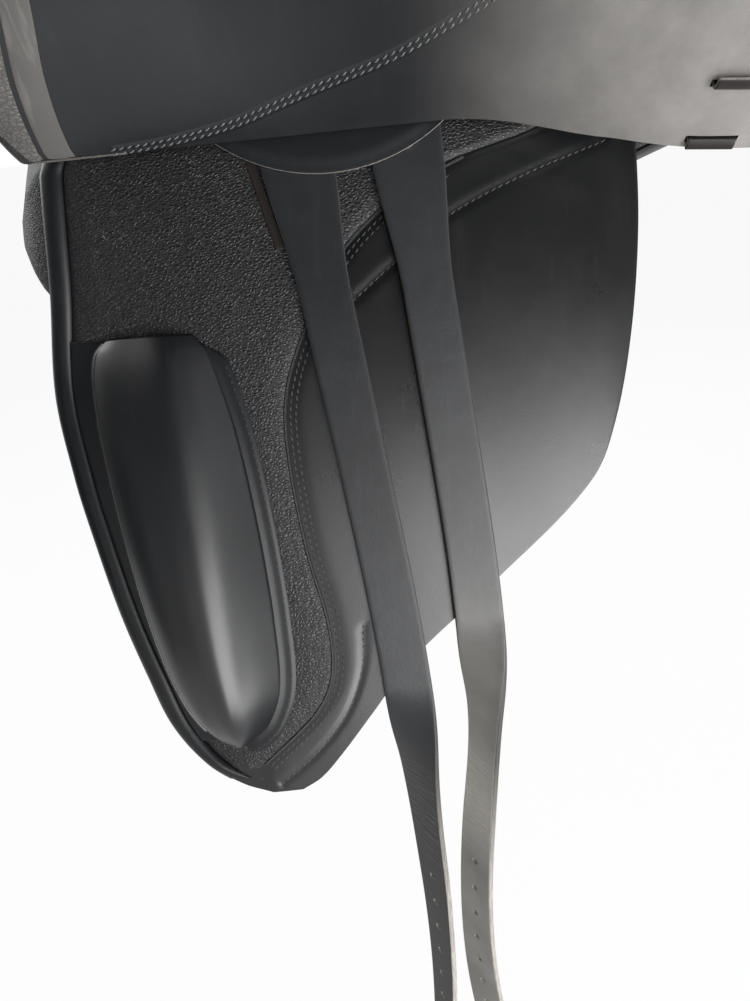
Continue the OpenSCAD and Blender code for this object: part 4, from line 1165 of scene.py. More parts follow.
# Sweat flaps
SEAM_HIGH = [(-61, 82), (-35, 63), (-4, 42), (40, 25), (86, 12.6)]
SEAM_LOW = [(-76, 268), (-79, 293), (-91, 320), (-112, 343), (-134, 359)]
SEAM_TIP = [(-146, 355), (-138, 358), (-130, 359.5)]
SEAM_BLOCK = [(-213, 91), (-197, 87), (-180, 84)]
DENT_H, DENT_W, PAD_H, PAD_START, PAD_RISE, PAD_REACH = 0.5, 2.2, 0.5, 2.0, 10.0, 28.0
PATCH_SKIN, PATCH_ROUND, PATCH_GAP, PATCH_END = 1.3, 0.5, 1.2, 0.955
BAND_END, BAND_OUT, BAND_FOOT, BAND_RIM, BAND_H, BAND_TAPER = 0.972, 0.8, 0.3, 0.45, 3.0, 9.0
CORD_R, CORD_SPAN, THREAD_SPAN, THREAD_GAPS = 0.9, (12, 345), (16, 343), (4.0, 7.0)


def patch_line(step, t0, t1):
    """Line beside the rear edge of the grained patch."""
    t = np.linspace(t0, t1, 40)
    slope = np.gradient(patch_edge(t), t)
    size = np.sqrt(1 + slope ** 2)
    return np.column_stack([patch_edge(t) + step / size, t - step * slope / size])


def band_profile():
    """Section of the rolled band: share across, and height."""
    a = steps(12)
    crown = [(v, BAND_RIM + BAND_H * math.sin(math.pi * v) ** 0.55) for v in a]
    return crown + [(v, BAND_FOOT) for v in a[::-1][1:-1]]


class SADDLE_OT_sweat_flaps(bpy.types.Operator):
    """Sweat flaps with their grained patch, rolled front band, seams and piping"""

    bl_idname = "saddle.sweat_flaps"
    bl_label = "Sweat Flaps"

    def execute(self, context):
        t = down_t(-TUCK, SWEAT_LEN, steps(190)[:, None])
        y = mix(sweat_edge(t, 1), sweat_edge(t, 2), steps(150)[None, :])
        past = y - patch_edge(t)
        relief = PAD_H * ease((past - PAD_START) / PAD_RISE) * np.exp(-(past / PAD_REACH) ** 2)
        for line in (SEAM_HIGH, SEAM_LOW):
            relief = relief - DENT_H * np.exp(-(from_line(y, t, resample(line, 6.0)) / DENT_W) ** 2)
        flap = sheet("sweat", side_pt(y, tucked(y, t), relief), SWEAT_T)
        settle_pair(flap, "sweat_leather", ROOT, finishes("under leather"), ["sweat_flap"])

        t = down_t(-TUCK + 8, PATCH_END * SWEAT_LEN, steps(170)[:, None])
        front = sweat_edge(t, 1) + BAND_W + PATCH_GAP
        y = mix(front, np.maximum(front + 2, patch_edge(t)), steps(70)[None, :])
        rim = np.minimum(y - front, np.maximum(0, patch_edge(t) - y))
        puff = 0.9 * ease(rim / 14) - 0.7 * (1 - ease(rim / 2.5))
        points = side_pt(y, tucked(y, t), PATCH_OFF + PATCH_T + puff)
        patch = sheet("patch", points, PATCH_SKIN, PATCH_ROUND)
        settle_pair(patch, "patch_leather", ROOT, finishes("grained leather"),
                    ["grain_patch"])

        low = BAND_END * SWEAT_LEN
        t = mix(-TUCK, low, steps(150))
        end = np.sqrt(np.clip((low - t) / BAND_TAPER, 0.04, 1))
        rings = [side_pt(sweat_edge(t, 1) - BAND_OUT + (BAND_W + BAND_OUT) * v, t,
                         BAND_FOOT + (h - BAND_FOOT) * end) for v, h in band_profile()]
        band = loft("band", np.stack(rings, 1))
        settle_pair(band, "edge_band", ROOT, finishes("band leather"), ["edge_roll"])

        line = side_pt(*resample(patch_line(1.0, *CORD_SPAN), 2.5).T, CORD_R)
        cord = tube("patch_cord", line, CORD_R, 6)
        settle_pair(cord, "patch_piping", ROOT, finishes("dark thread"))
        runs = [on_surface(side_pt, patch_line(gap, *THREAD_SPAN), 0.35) for gap in THREAD_GAPS]
        runs += [on_surface(side_pt, line, -0.2) for line in (SEAM_HIGH, SEAM_LOW, SEAM_TIP)]
        runs += [on_surface(side_pt, SEAM_BLOCK, PATCH_OFF + PATCH_T + 0.9)]
        thread = stitching("sweat_thread", runs)
        settle_pair(thread, "sweat_stitching", ROOT, finishes("grey thread"))
        return {"FINISHED"}


# Knee blocks
BLOCK_SKIN, SOFT_ACROSS, SOFT_DOWN = 1.6, 70, 34
FLANGE_W, FLANGE_OFF, FLANGE_STEP, FLANGE_SKIN, FLANGE_ROUND = 9.0, 1.7, 0.9, 1.2, 0.4
SEWN, SEWN_AT, SEWN_OFF = slice(6, -4), 6.2, 1.5
BEAD_SPAN, BEAD_SHARE = (0.01, 0.95), 0.86


class SADDLE_OT_knee_blocks(bpy.types.Operator):
    """Knee blocks with their sewn flange and piping"""

    bl_idname = "saddle.knee_blocks"
    bl_label = "Knee Blocks"

    def execute(self, context):
        down = steps(90)
        f = np.concatenate([[0], mix(down, crowded(down), 0.6), [1]])[:, None]
        u = np.concatenate([[0], steps(64), [1]])[None, :]
        y, t = block_yt(f, u)
        h = soften(soften(block_height(f, u), SOFT_ACROSS).T, SOFT_DOWN).T
        h[[0, -1], :] = 0
        h[:, [0, -1]] = 0
        block = sheet("block", side_pt(y, t, BLOCK_OFF + h), 0)
        smooth = block.modifiers.new("Round", "SUBSURF")
        smooth.levels = smooth.render_levels = 1
        wall = block.modifiers.new("Wall", "SOLIDIFY")
        wall.thickness = BLOCK_SKIN * MM
        wall.offset = -1
        apply_modifiers(block)
        pair = settle_pair(block, "block_leather", ROOT, finishes("block leather"),
                           ["knee_block", "block_core"], 60)

        rear = np.column_stack(block_yt(mix(0.02, 1, steps(60)), np.ones(61)))
        foot = np.column_stack(block_yt(np.ones(14), mix(1, 0.1, steps(13))))
        outline = resample(np.vstack([rear, foot[1:]]), 3.0)
        side, run = sideways(outline), steps(len(outline) - 1)
        width = FLANGE_W * ease(np.minimum(run / 0.06, (1 - run) / 0.05))
        w = mix(-0.45, 1, steps(10))[None, :]
        yt = outline[:, None] + w[..., None] * (width[:, None] * side)[:, None]
        step = 1 - ease((w + 0.2) / 0.6) - ease((w - 0.8) / 0.2)
        points = side_pt(yt[..., 0], yt[..., 1], BLOCK_OFF + FLANGE_OFF + FLANGE_STEP * step)
        flange = sheet("flange", points, FLANGE_SKIN, FLANGE_ROUND)
        settle_pair(flange, "block_flange", ROOT, finishes("band leather"))
        sewn = outline[SEWN] + SEWN_AT * side[SEWN]
        thread = stitching("block_thread", [on_surface(side_pt, sewn, BLOCK_OFF + SEWN_OFF)])
        settle_pair(thread, "block_stitching", ROOT, finishes("dark thread"))

        lead = resample(np.column_stack(block_yt(steps(60), np.zeros(61))), 3.0)
        inner_band = sweat_edge(lead[:, 1], 1) + BAND_W + 0.6
        w = steps(8)[None, :]
        y = mix(np.minimum(inner_band, lead[:, 0] - 2)[:, None], lead[:, :1] + 2.5, w)
        points = side_pt(y, lead[:, 1:] + 0 * y, BLOCK_OFF + SEWN_OFF + 0.3 * np.sin(np.pi * w))
        apron = sheet("apron", points, FLANGE_SKIN, FLANGE_ROUND)
        settle_pair(apron, "block_apron", ROOT, finishes("band leather"))

        f = mix(*BEAD_SPAN, steps(120))
        y, t = block_yt(f, 0 * f)
        line = side_pt(y + 0.3, t, BLOCK_OFF + BEAD_SHARE * block_height(f, 0.02 + 0 * f))
        bead = tube("bead", line, sizes().piping / MM / 2)
        settle_pair(bead, "block_piping", ROOT, finishes("block leather"))
        return {"FINISHED"}


# Girth straps, their webs and guards
STRAP_NODES = ("front_strap_near", "rear_strap_near", "front_strap_off", "rear_strap_off")
# The rear straps take the finish whose lower end carries rubbed wear and painted sheen.
STRAP_FINISHES = ("strap leather", "rubbed and sheen leather")
STRAP_ROUND, BACK_COLUMNS = 1.0, (-0.5, 0.0, 0.5)
CREASED_S, CREASE_REACH, CREASE_PITCH, CREASE_DEPTH = (345.0, 445.0), 28.0, 3.4, (0.03, 0.26)
CREASE_COLUMNS = (0.8, 0.6, 0.4, 0.2, 0.0, -0.2, -0.4, -0.6, -0.8)
STRAP_EDGES = (8, 9, 10, 11, 12, 25, 26, 27, 0, 1)
WEB_SPAN, WEB_HALF, WEB_T, WEB_ROUND = (-32, 18), 14.0, 1.2, 0.3
GUARD_HALF, GUARD_TOP, GUARD_LOW, GUARD_AT, GUARD_SKIN = 68.0, 10.0, 17.0, STRAP_MID - 10, 1.5
TAB_SPAN, TAB_AT, TAB_SLOPE, TAB_W, TAB_OFF, TAB_SKIN = (-8, 52), -113.0, 0.235, 5.5, 1.9, 1.6
PUNCH_LEN = 0.02


def strap_place(k, p):
    """Points in the frame of strap k, put on the saddle."""
    rivet = side_pt(np.array(HEAD_Y[k % 2]), np.array(RIVET_T), STRAP_OFF + STRAP_T / 2)
    return rivet + side_to_saddle(p)


def punch(k, s):
    """A round punch through strap k at distance s below its rivet."""
    middle, face, _ = strap_frames(k, np.array([s]))
    place = Vector(strap_place(k, middle)[0] * MM)
    turn = Vector(side_to_saddle(face)[0]).to_track_quat("Z", "Y").to_matrix().to_4x4()
    nothing_selected()
    bpy.ops.mesh.primitive_cylinder_add(vertices=24, radius=sizes().hole_width / 2, depth=PUNCH_LEN)
    tool = bpy.context.object
    slots_for(tool, 2)
    tool.data.transform(Matrix.Translation(place) @ turn)
    tool.data.polygons.foreach_set("material_index", [1] * len(tool.data.polygons))
    return tool


def strap_section(k, s):
    """Section of strap k at each s: places across and out, once round, with the creases of its face."""
    half, thick, r = strap_half(s), STRAP_T / 2, STRAP_ROUND

    def corner(across, out, start):
        turns = np.radians(start + 30 * np.arange(4))
        return [(across * (half - r) + r * math.cos(a), out * (thick - r) + r * math.sin(a))
                for a in turns]

    depth = CREASE_DEPTH[k % 2] * np.exp(-((s - sum(CREASED_S) / 2) / CREASE_REACH) ** 2)
    creased = []
    for x in CREASE_COLUMNS:
        lag = 0.9 * x + 0.8 * math.sin(5 * x)
        creased.append((x * half, thick + depth * np.sin(2 * np.pi * (s + lag) / CREASE_PITCH) - depth))
    back = [(x * half, -thick) for x in BACK_COLUMNS]
    return (corner(-1, -1, 180) + back + corner(1, -1, 270) + corner(1, 1, 0) + creased
            + corner(-1, 1, 90))


def strap_solid(k, node):
    """Strap k with its creased face, its rivet hole and its row of buckle holes."""
    s = np.union1d(mix(-STRAP_HEAD, STRAP_LEN, steps(230)), np.arange(*CREASED_S, 0.7))
    middle, face, wide = strap_frames(k, s)
    rings = []
    for across, out in strap_section(k, s):
        spots = middle + (across + 0 * s)[:, None] * wide + (out + 0 * s)[:, None] * face
        rings.append(strap_place(k, spots))
    strap = loft(node, np.stack(rings, 1), edge_columns=STRAP_EDGES)
    rivet = punch(k, 0.0)
    holes = [punch(k, STRAP_LEN - TIP_MARGIN - i * HOLE_PITCH) for i in range(HOLE_COUNT)]
    cut(strap, holes + [rivet])
    if node.endswith("off"):
        rivet_at = Vector(strap_place(k, np.zeros(3))) * MM
        swing = Matrix.Rotation(OFF_SWING, 4, Vector(OUTWARD))
        strap.data.transform(Matrix.Translation(rivet_at) @ swing @ Matrix.Translation(-rivet_at))
        mirror(strap)
    return named(strap, node.replace("strap_", "strap_leather_"))


class SADDLE_OT_girth_straps(bpy.types.Operator):
    """Girth straps with punched holes and raw edges, their webs, the crescent guard and its tab"""

    bl_idname = "saddle.girth_straps"
    bl_label = "Girth Straps"

    def execute(self, context):
        for k, node in enumerate(STRAP_NODES):
            strap = strap_solid(k, node)
            settle(strap, node, finishes(STRAP_FINISHES[k % 2], "strap edge"), [node])

        t = mix(*WEB_SPAN, steps(30))[:, None]
        webs = []
        for head in HEAD_Y:
            y = head + WEB_HALF * (2 * steps(14) - 1)[None, :]
            webs.append(sheet("web", side_pt(y, t, WEB_OFF + 1.3 + 0 * y), WEB_T, WEB_ROUND))
        settle_pair(joined(*webs), "girth_web", ROOT, finishes("webbing"), ["girth_webs"])

        rise = GUARD_TOP + GUARD_LOW
        r = (GUARD_HALF ** 2 + rise ** 2) / (2 * rise)
        x = (GUARD_HALF - 0.5) * np.sin(np.pi / 2 * (2 * steps(80) - 1))[None, :]
        lower = np.sqrt(r * r - x * x) - r + GUARD_LOW
        t = mix(-GUARD_TOP + 0 * lower, lower, steps(18)[:, None])
        bow = GUARD_T - 0.7 * (1 - ease((lower - t) / 9)) + 0.4 * np.sin(x / 19)
        guard = sheet("guard", side_pt(GUARD_AT + x, t, GUARD_OFF + bow), GUARD_SKIN, 0.55, rim=True)
        settle_pair(guard, "guard_leather", ROOT, finishes("flap leather", "raw edge"),
                    ["strap_guard"])

        t = mix(*TAB_SPAN, steps(30))[:, None]
        y = TAB_AT + TAB_SLOPE * t + TAB_W * steps(8)[None, :]
        tab = sheet("tab", side_pt(y, t, PATCH_OFF + PATCH_T + TAB_OFF + 0 * y), TAB_SKIN, 0.5)
        settle_pair(tab, "guard_tab", ROOT, finishes("tab leather"))
        return {"FINISHED"}


# Flaps
SEAM_FORE = [(-176, -2), (-156, -0.5), (-132, 3)]
FOLD_BEAD, FOLD_BEAD_R = (-222.0, -170.0), 0.6
KEEPER_W, KEEPER_LEN, KEEPER_T, KEEPER_SKIN, KEEPER_ROOM, SLOT_D = 24.0, 34.0, 2.0, 2.0, 9.5, 4.0
KEEPER_Y = FLAP_FRONT + 0.882 * FLAP_W
CURL_H, CURL_W, CURL_START, CURL_RISE = 4.5, 17.0, 2.0, 30.0
LINING_W = [(0, 28), (40, 44), (80, 61), (130, 64), (220, 48), (320, 30)]
LINING_END, FOLD_W, LINING_GAP, LINING_SKIN = 300, 14.0, 16.5, 1.0
FACING_SPAN, FACING_FRONT, FACING_OFF, FACING_SKIN = (0.03, 0.97), 5.0, 2.0, 1.4
BINDING_W, BINDING_H, BINDING_SIDES = 5.2, 3.2, 12
RIDGE_W, RIDGE_SKIN, RIDGE_GAP, RIDGE_SINK, OUTER_SHIFT, OUTER_FROM = 9.0, 0.9, 1.5, 0.55, 4.0, 8
THREAD_SLANT = 24.0
ROOT_FRONT, ROOT_BACK = FLAP_FRONT + 31, STRAP_MID + 153
BAR_AT, BAR_HALF, BAR_EASE = -112.0, 60.0, 8.0


def keeper_frame():
    """Middle of the keeper on the flap's inner face, and its directions rearwards, up and out."""
    t = np.array(KEEPER_T + KEEPER_LEN / 2)
    before, centre, after = (flap_pt(np.array(KEEPER_Y + step), t, 0.0) for step in (-10, 0, 10))
    turn = math.atan2((after - before) @ OUTWARD, 20)
    back = math.cos(turn) * REARWARD + math.sin(turn) * OUTWARD
    return centre, back, UPWARD, math.cos(turn) * OUTWARD - math.sin(turn) * REARWARD


def keeper_place(across, up, out):
    """Points in the frame of the keeper."""
    centre, *axes = keeper_frame()
    return centre + sum(np.asarray(v)[..., None] * axis for v, axis in zip((across, up, out), axes))


def keeper_slots():
    """Cutters for the two slots that the keeper passes through."""
    axes = Matrix(keeper_frame()[1:]).transposed().to_4x4()
    cutters = []
    for up in (-KEEPER_LEN / 2, KEEPER_LEN / 2):
        nothing_selected()
        bpy.ops.mesh.primitive_cube_add(size=1.0)
        tool = bpy.context.object
        tool.data.transform(Matrix.Diagonal(((KEEPER_W + 2) * MM, SLOT_D * MM, 0.04, 1)))
        tool.data.transform(Matrix.Translation(Vector(keeper_place(0.0, up, 0.0)) * MM) @ axes)
        cutters.append(tool)
    return cutters


def keeper_loop():
    """Keeper loop: tucked through its slots, with its ends flat on the flap's inner face."""
    z = FLAP_T + KEEPER_ROOM + KEEPER_SKIN
    h = KEEPER_LEN / 2 + 1
    path = resample([(-h - 5, -2.4), (-h - 1, -2.4), (-h + 0.5, -1), (-h, z - 3), (-h + 3, z),
                     (0, z + 0.5), (h - 3, z), (h, z - 3), (h - 0.4, 0), (h + 0.8, -0.7),
                     (h + 3.5, -0.7)], 1.0)
    across = (KEEPER_W * (steps(12) - 0.5))[None, :]
    up, out = path[:, :1] + 0 * across, path[:, 1:] + 0 * across
    return sheet("keeper", keeper_place(across + 0 * up, up, out)[::-1], KEEPER_SKIN, 0.6, rim=True)


def curl_height(t):
    """Height of the curl at the front edge, none at the hinge."""
    return CURL_H * ease((t - HINGE_T - CURL_START) / CURL_RISE)


def front_curl(y, t):
    """How far the front of a flap curls outwards to its binding."""
    return curl_height(t) * np.clip(1 - (y - flap_edge(t, 1)) / CURL_W, 0, 1) ** 2


def flap_seam(step):
    """Line of the facing's seam on a flap, shifted sideways by a step."""
    t = HINGE_T + FLAP_LEN * np.linspace(*FACING_SPAN, 60)
    line = resample(np.vstack([SEAM_FORE, np.column_stack([facing_edge(t), t])]), 5.0)
    return line + step * sideways(line)


class SADDLE_OT_flaps(bpy.types.Operator):
    """Flaps with their grained facing, bound front edge, seams, root and keeper"""

    bl_idname = "saddle.flaps"
    bl_label = "Flaps"

    def execute(self, context):
        t = down_t(HINGE_T, HINGE_T + FLAP_LEN, steps(150)[:, None])
        y = mix(flap_edge(t, 1), flap_edge(t, 2), steps(130)[None, :])
        flap = sheet("flap", flap_pt(y, t, FLAP_T + front_curl(y, t)), FLAP_T)
        cut(flap, keeper_slots())
        slots_for(flap, 2)
        inner = [1 if face.normal.dot(Vector(OUTWARD)) < -0.3 else 0 for face in flap.data.polygons]
        flap.data.polygons.foreach_set("material_index", inner)
        settle_pair(flap, "flap_leather", "flap", finishes("flap leather", "flap underside"),
                    ["flap"])

        t = down_t(*FACING_SPAN, steps(120)[:, None]) * FLAP_LEN + HINGE_T
        y = mix(flap_edge(t, 1) + FACING_FRONT, facing_edge(t), steps(80)[None, :])
        points = flap_pt(y, t, FLAP_T + FACING_OFF + front_curl(y, t))
        facing = sheet("facing", points, FACING_SKIN, 0.5)
        settle_pair(facing, "facing_leather", "flap", finishes("grained leather"),
                    ["flap_facing"])

        t = mix(HINGE_T + 1, HINGE_T + FLAP_LEN - 2, steps(150))
        middle, height = flap_edge(t, 1) + BINDING_H, FLAP_T / 2 + curl_height(t)
        roll = [flap_pt(middle - BINDING_W * math.cos(a), t, height + BINDING_H * math.sin(a))
                for a in around(BINDING_SIDES)]
        binding = loft("binding", np.stack(roll, 1))
        settle_pair(binding, "flap_binding", "flap", finishes("grained leather"))

        t = mix(HINGE_T + 2, LINING_END, steps(90))[:, None]
        front = flap_edge(t, 1)
        aft = front + along(LINING_W, t, 1)
        w = steps(12)[None, :]
        swell = 0.2 + 1.1 * np.sin(np.pi * np.clip(w, 0.02, 0.98)) ** 0.5
        # The pale fold strip and lining paint the highlight along the front of the flap's underside.
        for name, lead, rear, leather in (
                ("flap_fold", aft - FOLD_W, aft, "fold leather"),
                ("flap_lining", front + 2, aft - LINING_GAP, "lining leather")):
            y = mix(lead, rear, w)
            strip = flap_pt(y, t, front_curl(y, t) - swell)
            piece = sheet(name, strip[:, ::-1], LINING_SKIN, 0.3)
            settle_pair(piece, name, "flap", finishes(leather))

        ridge = flap_seam(0.0)
        w = steps(10)[None, :]
        yt = ridge[:, None] + (RIDGE_W * (w - 0.5))[..., None] * sideways(ridge)[:, None]
        y, t = yt[..., 0], yt[..., 1]
        lift = -0.8 * np.sin(np.pi * w) ** 0.8 + 0.4 * np.exp(-((w - 0.5) / 0.1) ** 2) + 0.25
        seam = sheet("seam", flap_pt(y, t, lift + 0 * y)[:, ::-1], RIDGE_SKIN, 0)
        settle_pair(seam, "flap_seam", "flap", finishes("flap underside"))
        runs = []
        for gap in (-RIDGE_GAP, RIDGE_GAP):
            p, n = on_surface(flap_pt, flap_seam(gap), -RIDGE_SINK)
            runs.append((p, -n))
            outer = flap_seam(gap - OUTER_SHIFT)[OUTER_FROM:]
            runs.append(on_surface(flap_pt, outer, FLAP_T + FACING_OFF))
        thread = stitching("flap_thread", runs, THREAD_SLANT)
        settle_pair(thread, "flap_stitching", "flap", finishes("thread"))

        # The bead takes the same pale fold leather, part of the painted highlight.
        y = mix(*FOLD_BEAD, steps(40))
        bead = tube("fold_bead", flap_pt(y, HINGE_T + 0.5 + 0 * y, -0.3), FOLD_BEAD_R, 6)
        settle_pair(bead, "flap_fold_bead", "flap", finishes("fold leather"))

        y = mix(ROOT_FRONT, ROOT_BACK, steps(90))[None, :]
        notch = ease((BAR_HALF - np.abs(y - BAR_AT)) / BAR_EASE)
        top = np.maximum(mix(-46, -14, ease((y + 40) / 80)), mix(-60, -20, notch))
        t = mix(top, HINGE_T - 0.3, steps(16)[:, None])
        points = side_pt(y, t, FLAP_BASE + FLAP_T - droop(y, t))
        points[..., 0] += straight(y, t)
        root = sheet("root", points, FLAP_T)
        settle_pair(root, "flap_root_leather", ROOT, finishes("flap leather"), ["flap_root"])

        settle_pair(keeper_loop(), "keeper_leather", "flap", finishes("tab leather", "raw edge"),
                    ["flap_keeper"])
        return {"FINISHED"}


# Skirts
SKIRT_SEAM = [(0.06, 0.045), (0.5, 0.045), (0.9, 0.05), (0.93, 0.1), (0.93, 0.5), (0.93, 0.9),
              (0.9, 0.95), (0.5, 0.955), (0.06, 0.955)]
SKIRT_FACE = np.array([0.75, 0, 0.66])


class SADDLE_OT_skirts(bpy.types.Operator):
    """Small skirts over the stirrup bars, sewn round their edge"""

    bl_idname = "saddle.skirts"
    bl_label = "Skirts"

    def execute(self, context):
        u, v = np.meshgrid(steps(50), steps(80), indexing="ij")
        skirt = sheet("skirt", skirt_pt(u, v, SKIRT_T + 0 * u), SKIRT_T)
        settle_pair(skirt, "skirt_leather", "skirt", finishes("flap leather"), ["skirt"])
        line = resample(SKIRT_SEAM, 0.02)
        p = skirt_pt(line[:, 0], line[:, 1], np.full(len(line), SKIRT_T + 0.1))
        p = resample(p, sizes().stitch_pitch / MM)
        thread = stitching("skirt_thread", [(p, np.broadcast_to(unit(SKIRT_FACE), p.shape))])
        settle_pair(thread, "skirt_stitching", "skirt", finishes("thread"))
        return {"FINISHED"}


# Metal and wood that stay as they are in the frame, and the leather that holds the dee rings
DEE_G, DEE_OUT, DEE_DOWN, DEE_W, DEE_WIRE = 0.0656, 9.0, 12.0, 22.0, 3.6
LOOP_ROOM, LOOP_END, LOOP_SKIN = 1.7, 0.5, 1.3
STEEL_NODES = ["gullet_plate", "tree_springs", "tree_rivets", "strap_rivets", "catch_pins", "bar_rivets"]
STEEL_PAIRS = ["stirrup_bar", "bar_catch", "dee_ring"]


def dress(node, material):
    """Gives a piece of the frame its finish."""
    node.data.materials.clear()
    node.data.materials.append(material)


class SADDLE_OT_fittings(bpy.types.Operator):
    """Finishes of the steel fittings and the tree, and the leather loops of the dee rings"""

    bl_idname = "saddle.fittings"
    bl_label = "Fittings"

    def execute(self, context):
        nodes = STEEL_NODES + [f"{n}_{side}" for n in STEEL_PAIRS for side in ("near", "off")]
        for name in nodes:
            dress(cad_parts[name], finish("steel"))
        dress(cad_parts["saddle_tree"], finish("plywood"))

        turn = np.array(DEE_G)
        centre = edge_pt(turn, DEE_OUT, DEE_DOWN)
        out = unit(edge_pt(turn, DEE_OUT + 1, DEE_DOWN) - centre)
        ahead = np.array([-out[1], out[0], 0])
        r = DEE_WIRE / 2 + LOOP_ROOM
        bend = [(r * math.cos(a), r * math.sin(a)) for a in np.linspace(math.pi / 2, -math.pi / 2, 9)]
        path = resample([(LOOP_END - DEE_OUT, r), *bend, (LOOP_END - DEE_OUT, -r)], 0.6)[:, None]
        w = (DEE_W / 2 * (steps(10) - 0.5))[None, :, None]
        points = centre + path[..., :1] * out + path[..., 1:] * np.array([0, 0, 1.0]) + w * ahead
        loop = sheet("dee_loop", points, LOOP_SKIN, 0.4)
        loops = named(joined(loop, mirror_copy(loop)), "dee_loop_leather")
        settle(loops, ROOT, finishes("strap leather"), ["dee_keepers"])
        return {"FINISHED"}


# Stage: floor, light and the camera of the photograph
CAMERA_AT = (0.5667, -0.0613, 0.0545)
CAMERA_AHEAD = (-0.891, 0.0, -0.454)
CAMERA_UP = (-0.4515, 0.1045, 0.8861)
FOCAL_PIXELS, LONG_SIDE, SENSOR = 760.0, 1001.0, 36.0
FLOOR_Z, FLOOR_SIZE, FLOOR_WHITE = -0.78, 90.0, 0.93
WORLD_COLOUR, WORLD_LIGHT = (0.95, 0.97, 1.0, 1), 0.16
LAMPS = (
    ("Front", (1.6, 0.68, -0.22), (0.2, 0.05, -0.16), (1.5, 1.0), 43.0),
    ("Low", (0.66, 0.8, -0.74), (0.27, 0.1, 0.2), (0.8, 0.8), 12.0),
    ("Lead", (-0.4, -1.5, 0.7), (0.05, -0.15, 0.0), (0.9, 0.9), 12.0),
    ("Top", (0.7, 0.6, 1.9), (0.05, 0.0, 0.0), (1.4, 1.4), 13.0),
    ("Back", (-1.6, 0.4, 1.0), (-0.1, 0.0, 0.0), (1.4, 1.4), 22.0),
)
FLAGS = (
    ("flag_high", (1.3, 0.1, 1.26), "Y", (2.0, 4.2)),
    ("flag_fore", (0.4, -1.25, 0.1), "X", (1.2, 1.2)),
)


def seen_white(g):
    """One for the rays that show the background: to the camera, in reflections and through glass."""
    ray = g.add("ShaderNodeLightPath").outputs
    seen = g.math("MAXIMUM", ray["Is Camera Ray"], ray["Is Glossy Ray"])
    return g.math("MAXIMUM", seen, ray["Is Transmission Ray"])


def white_to_camera(g, out, shader, share):
    """The surface looks white to the camera and in reflections, and is lit as usual otherwise."""
    glow = g.add("ShaderNodeEmission", {"Color": (1, 1, 1, 1), "Strength": 1.0})
    join = g.add("ShaderNodeMixShader", {"Fac": g.math("MULTIPLY", seen_white(g), share)})
    g.tree.links.new(shader, join.inputs[1])
    g.tree.links.new(glow.outputs[0], join.inputs[2])
    g.tree.links.new(join.outputs[0], out)


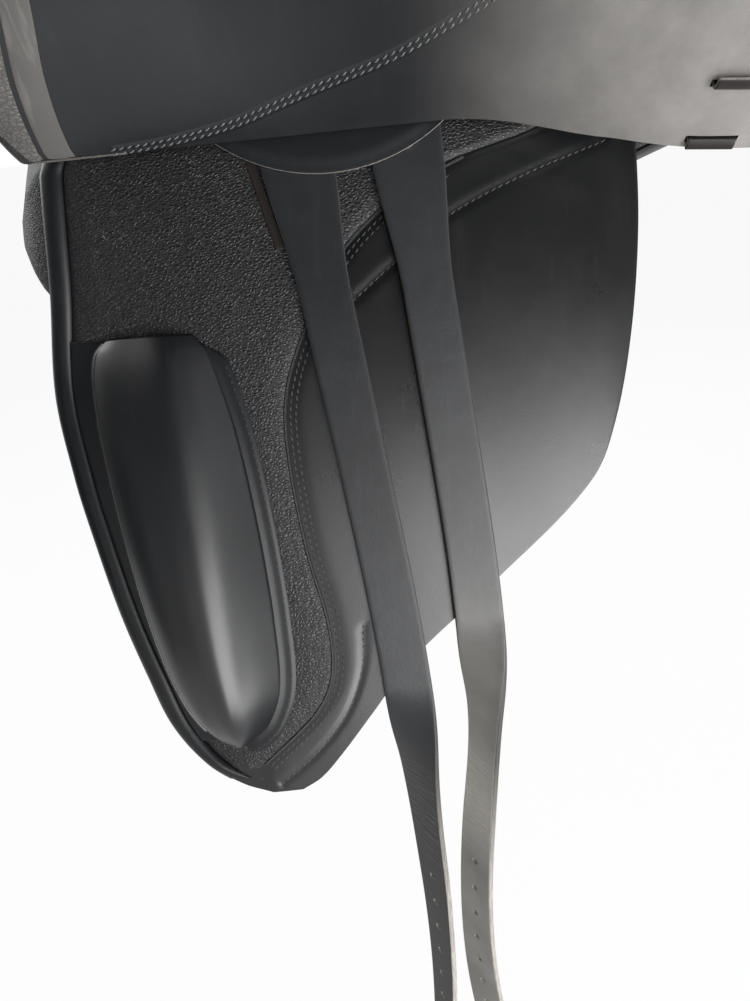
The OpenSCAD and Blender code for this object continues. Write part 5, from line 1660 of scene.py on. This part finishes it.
class SADDLE_OT_stage(bpy.types.Operator):
    """Pale floor, soft studio light and the camera"""

    bl_idname = "saddle.stage"
    bl_label = "Stage"

    def execute(self, context):
        scene = context.scene
        nothing_selected()
        bpy.ops.mesh.primitive_plane_add(size=FLOOR_SIZE, location=(0, 0, FLOOR_Z))
        floor = named(context.object, "floor")
        material, g, shader, _ = new_material("Pale Floor")
        shader.inputs["Base Color"].default_value = (0.82, 0.82, 0.82, 1)
        shader.inputs["Roughness"].default_value = 0.9
        out = next(n for n in g.tree.nodes if n.type == "OUTPUT_MATERIAL")
        white_to_camera(g, out.inputs["Surface"], shader.outputs[0], FLOOR_WHITE)
        floor.data.materials.append(material)

        world = bpy.data.worlds.new("Studio")
        scene.world = world
        world.use_nodes = True
        world.node_tree.nodes.clear()
        g = Graph(world.node_tree)
        out = g.add("ShaderNodeOutputWorld")
        light = g.add("ShaderNodeBackground", {"Color": WORLD_COLOUR, "Strength": WORLD_LIGHT})
        white = g.add("ShaderNodeBackground", {"Color": (1, 1, 1, 1), "Strength": 1.0})
        join = g.add("ShaderNodeMixShader", {"Fac": seen_white(g)})
        g.tree.links.new(light.outputs[0], join.inputs[1])
        g.tree.links.new(white.outputs[0], join.inputs[2])
        g.tree.links.new(join.outputs[0], out.inputs["Surface"])

        for name, at, target, size, power in LAMPS:
            lamp = bpy.data.lights.new(name, "AREA")
            lamp.shape = "RECTANGLE"
            lamp.size, lamp.size_y = size
            lamp.energy = power
            obj = bpy.data.objects.new(name, lamp)
            scene.collection.objects.link(obj)
            obj.location = at
            aim = Vector(target) - Vector(at)
            obj.rotation_euler = aim.to_track_quat("-Z", "Y").to_euler()

        material, g, shader, _ = new_material("Black Flag")
        shader.inputs["Base Color"].default_value = (0.01, 0.01, 0.01, 1)
        shader.inputs["Roughness"].default_value = 1.0
        for name, at, axis, size in FLAGS:
            nothing_selected()
            bpy.ops.mesh.primitive_plane_add(size=1.0)
            flag = named(context.object, name)
            flag.data.transform(Matrix.Translation(at) @ Matrix.Rotation(math.pi / 2, 4, axis)
                                @ Matrix.Diagonal((*size, 1, 1)))
            flag.data.materials.append(material)
            flag.visible_camera = flag.visible_shadow = flag.visible_diffuse = False

        camera = bpy.data.cameras.new("Camera")
        camera.lens = FOCAL_PIXELS / LONG_SIDE * SENSOR
        camera.sensor_width = SENSOR
        camera.clip_start = 0.01
        obj = bpy.data.objects.new("Camera", camera)
        scene.collection.objects.link(obj)
        ahead, up = Vector(CAMERA_AHEAD).normalized(), Vector(CAMERA_UP)
        right = ahead.cross(up).normalized()
        up = right.cross(ahead)
        turn = Matrix((right, up, -ahead)).transposed().to_4x4()
        obj.matrix_world = Matrix.Translation(Vector(CAMERA_AT)) @ turn
        scene.camera = obj
        scene.view_settings.view_transform = "Standard"
        return {"FINISHED"}


STEPS = (SADDLE_OT_seat, SADDLE_OT_panels, SADDLE_OT_sweat_flaps, SADDLE_OT_knee_blocks,
         SADDLE_OT_girth_straps, SADDLE_OT_flaps, SADDLE_OT_skirts, SADDLE_OT_fittings,
         SADDLE_OT_stage)


class SADDLE_PT_panel(bpy.types.Panel):
    """Steps, sizes and colours of the saddle"""

    bl_idname = "SADDLE_PT_panel"
    bl_label = "Saddle"
    bl_space_type = "VIEW_3D"
    bl_region_type = "UI"
    bl_category = "Saddle"

    def draw(self, context):
        for step in STEPS:
            self.layout.operator(step.bl_idname)
        for group in (context.scene.saddle_sizes, context.scene.saddle_colours):
            for name in group.__annotations__:
                self.layout.prop(group, name)


CLASSES = (SaddleSizes, SaddleColours, *STEPS, SADDLE_PT_panel)


def register():
    for cls in CLASSES:
        bpy.utils.register_class(cls)
    bpy.types.Scene.saddle_sizes = bpy.props.PointerProperty(type=SaddleSizes)
    bpy.types.Scene.saddle_colours = bpy.props.PointerProperty(type=SaddleColours)


def unregister():
    del bpy.types.Scene.saddle_colours
    del bpy.types.Scene.saddle_sizes
    for cls in reversed(CLASSES):
        bpy.utils.unregister_class(cls)


def main():
    register()
    bpy.ops.saddle.seat()
    bpy.ops.saddle.panels()
    bpy.ops.saddle.sweat_flaps()
    bpy.ops.saddle.knee_blocks()
    bpy.ops.saddle.girth_straps()
    bpy.ops.saddle.flaps()
    bpy.ops.saddle.skirts()
    bpy.ops.saddle.fittings()
    bpy.ops.saddle.stage()


if __name__ == "__main__":
    main()
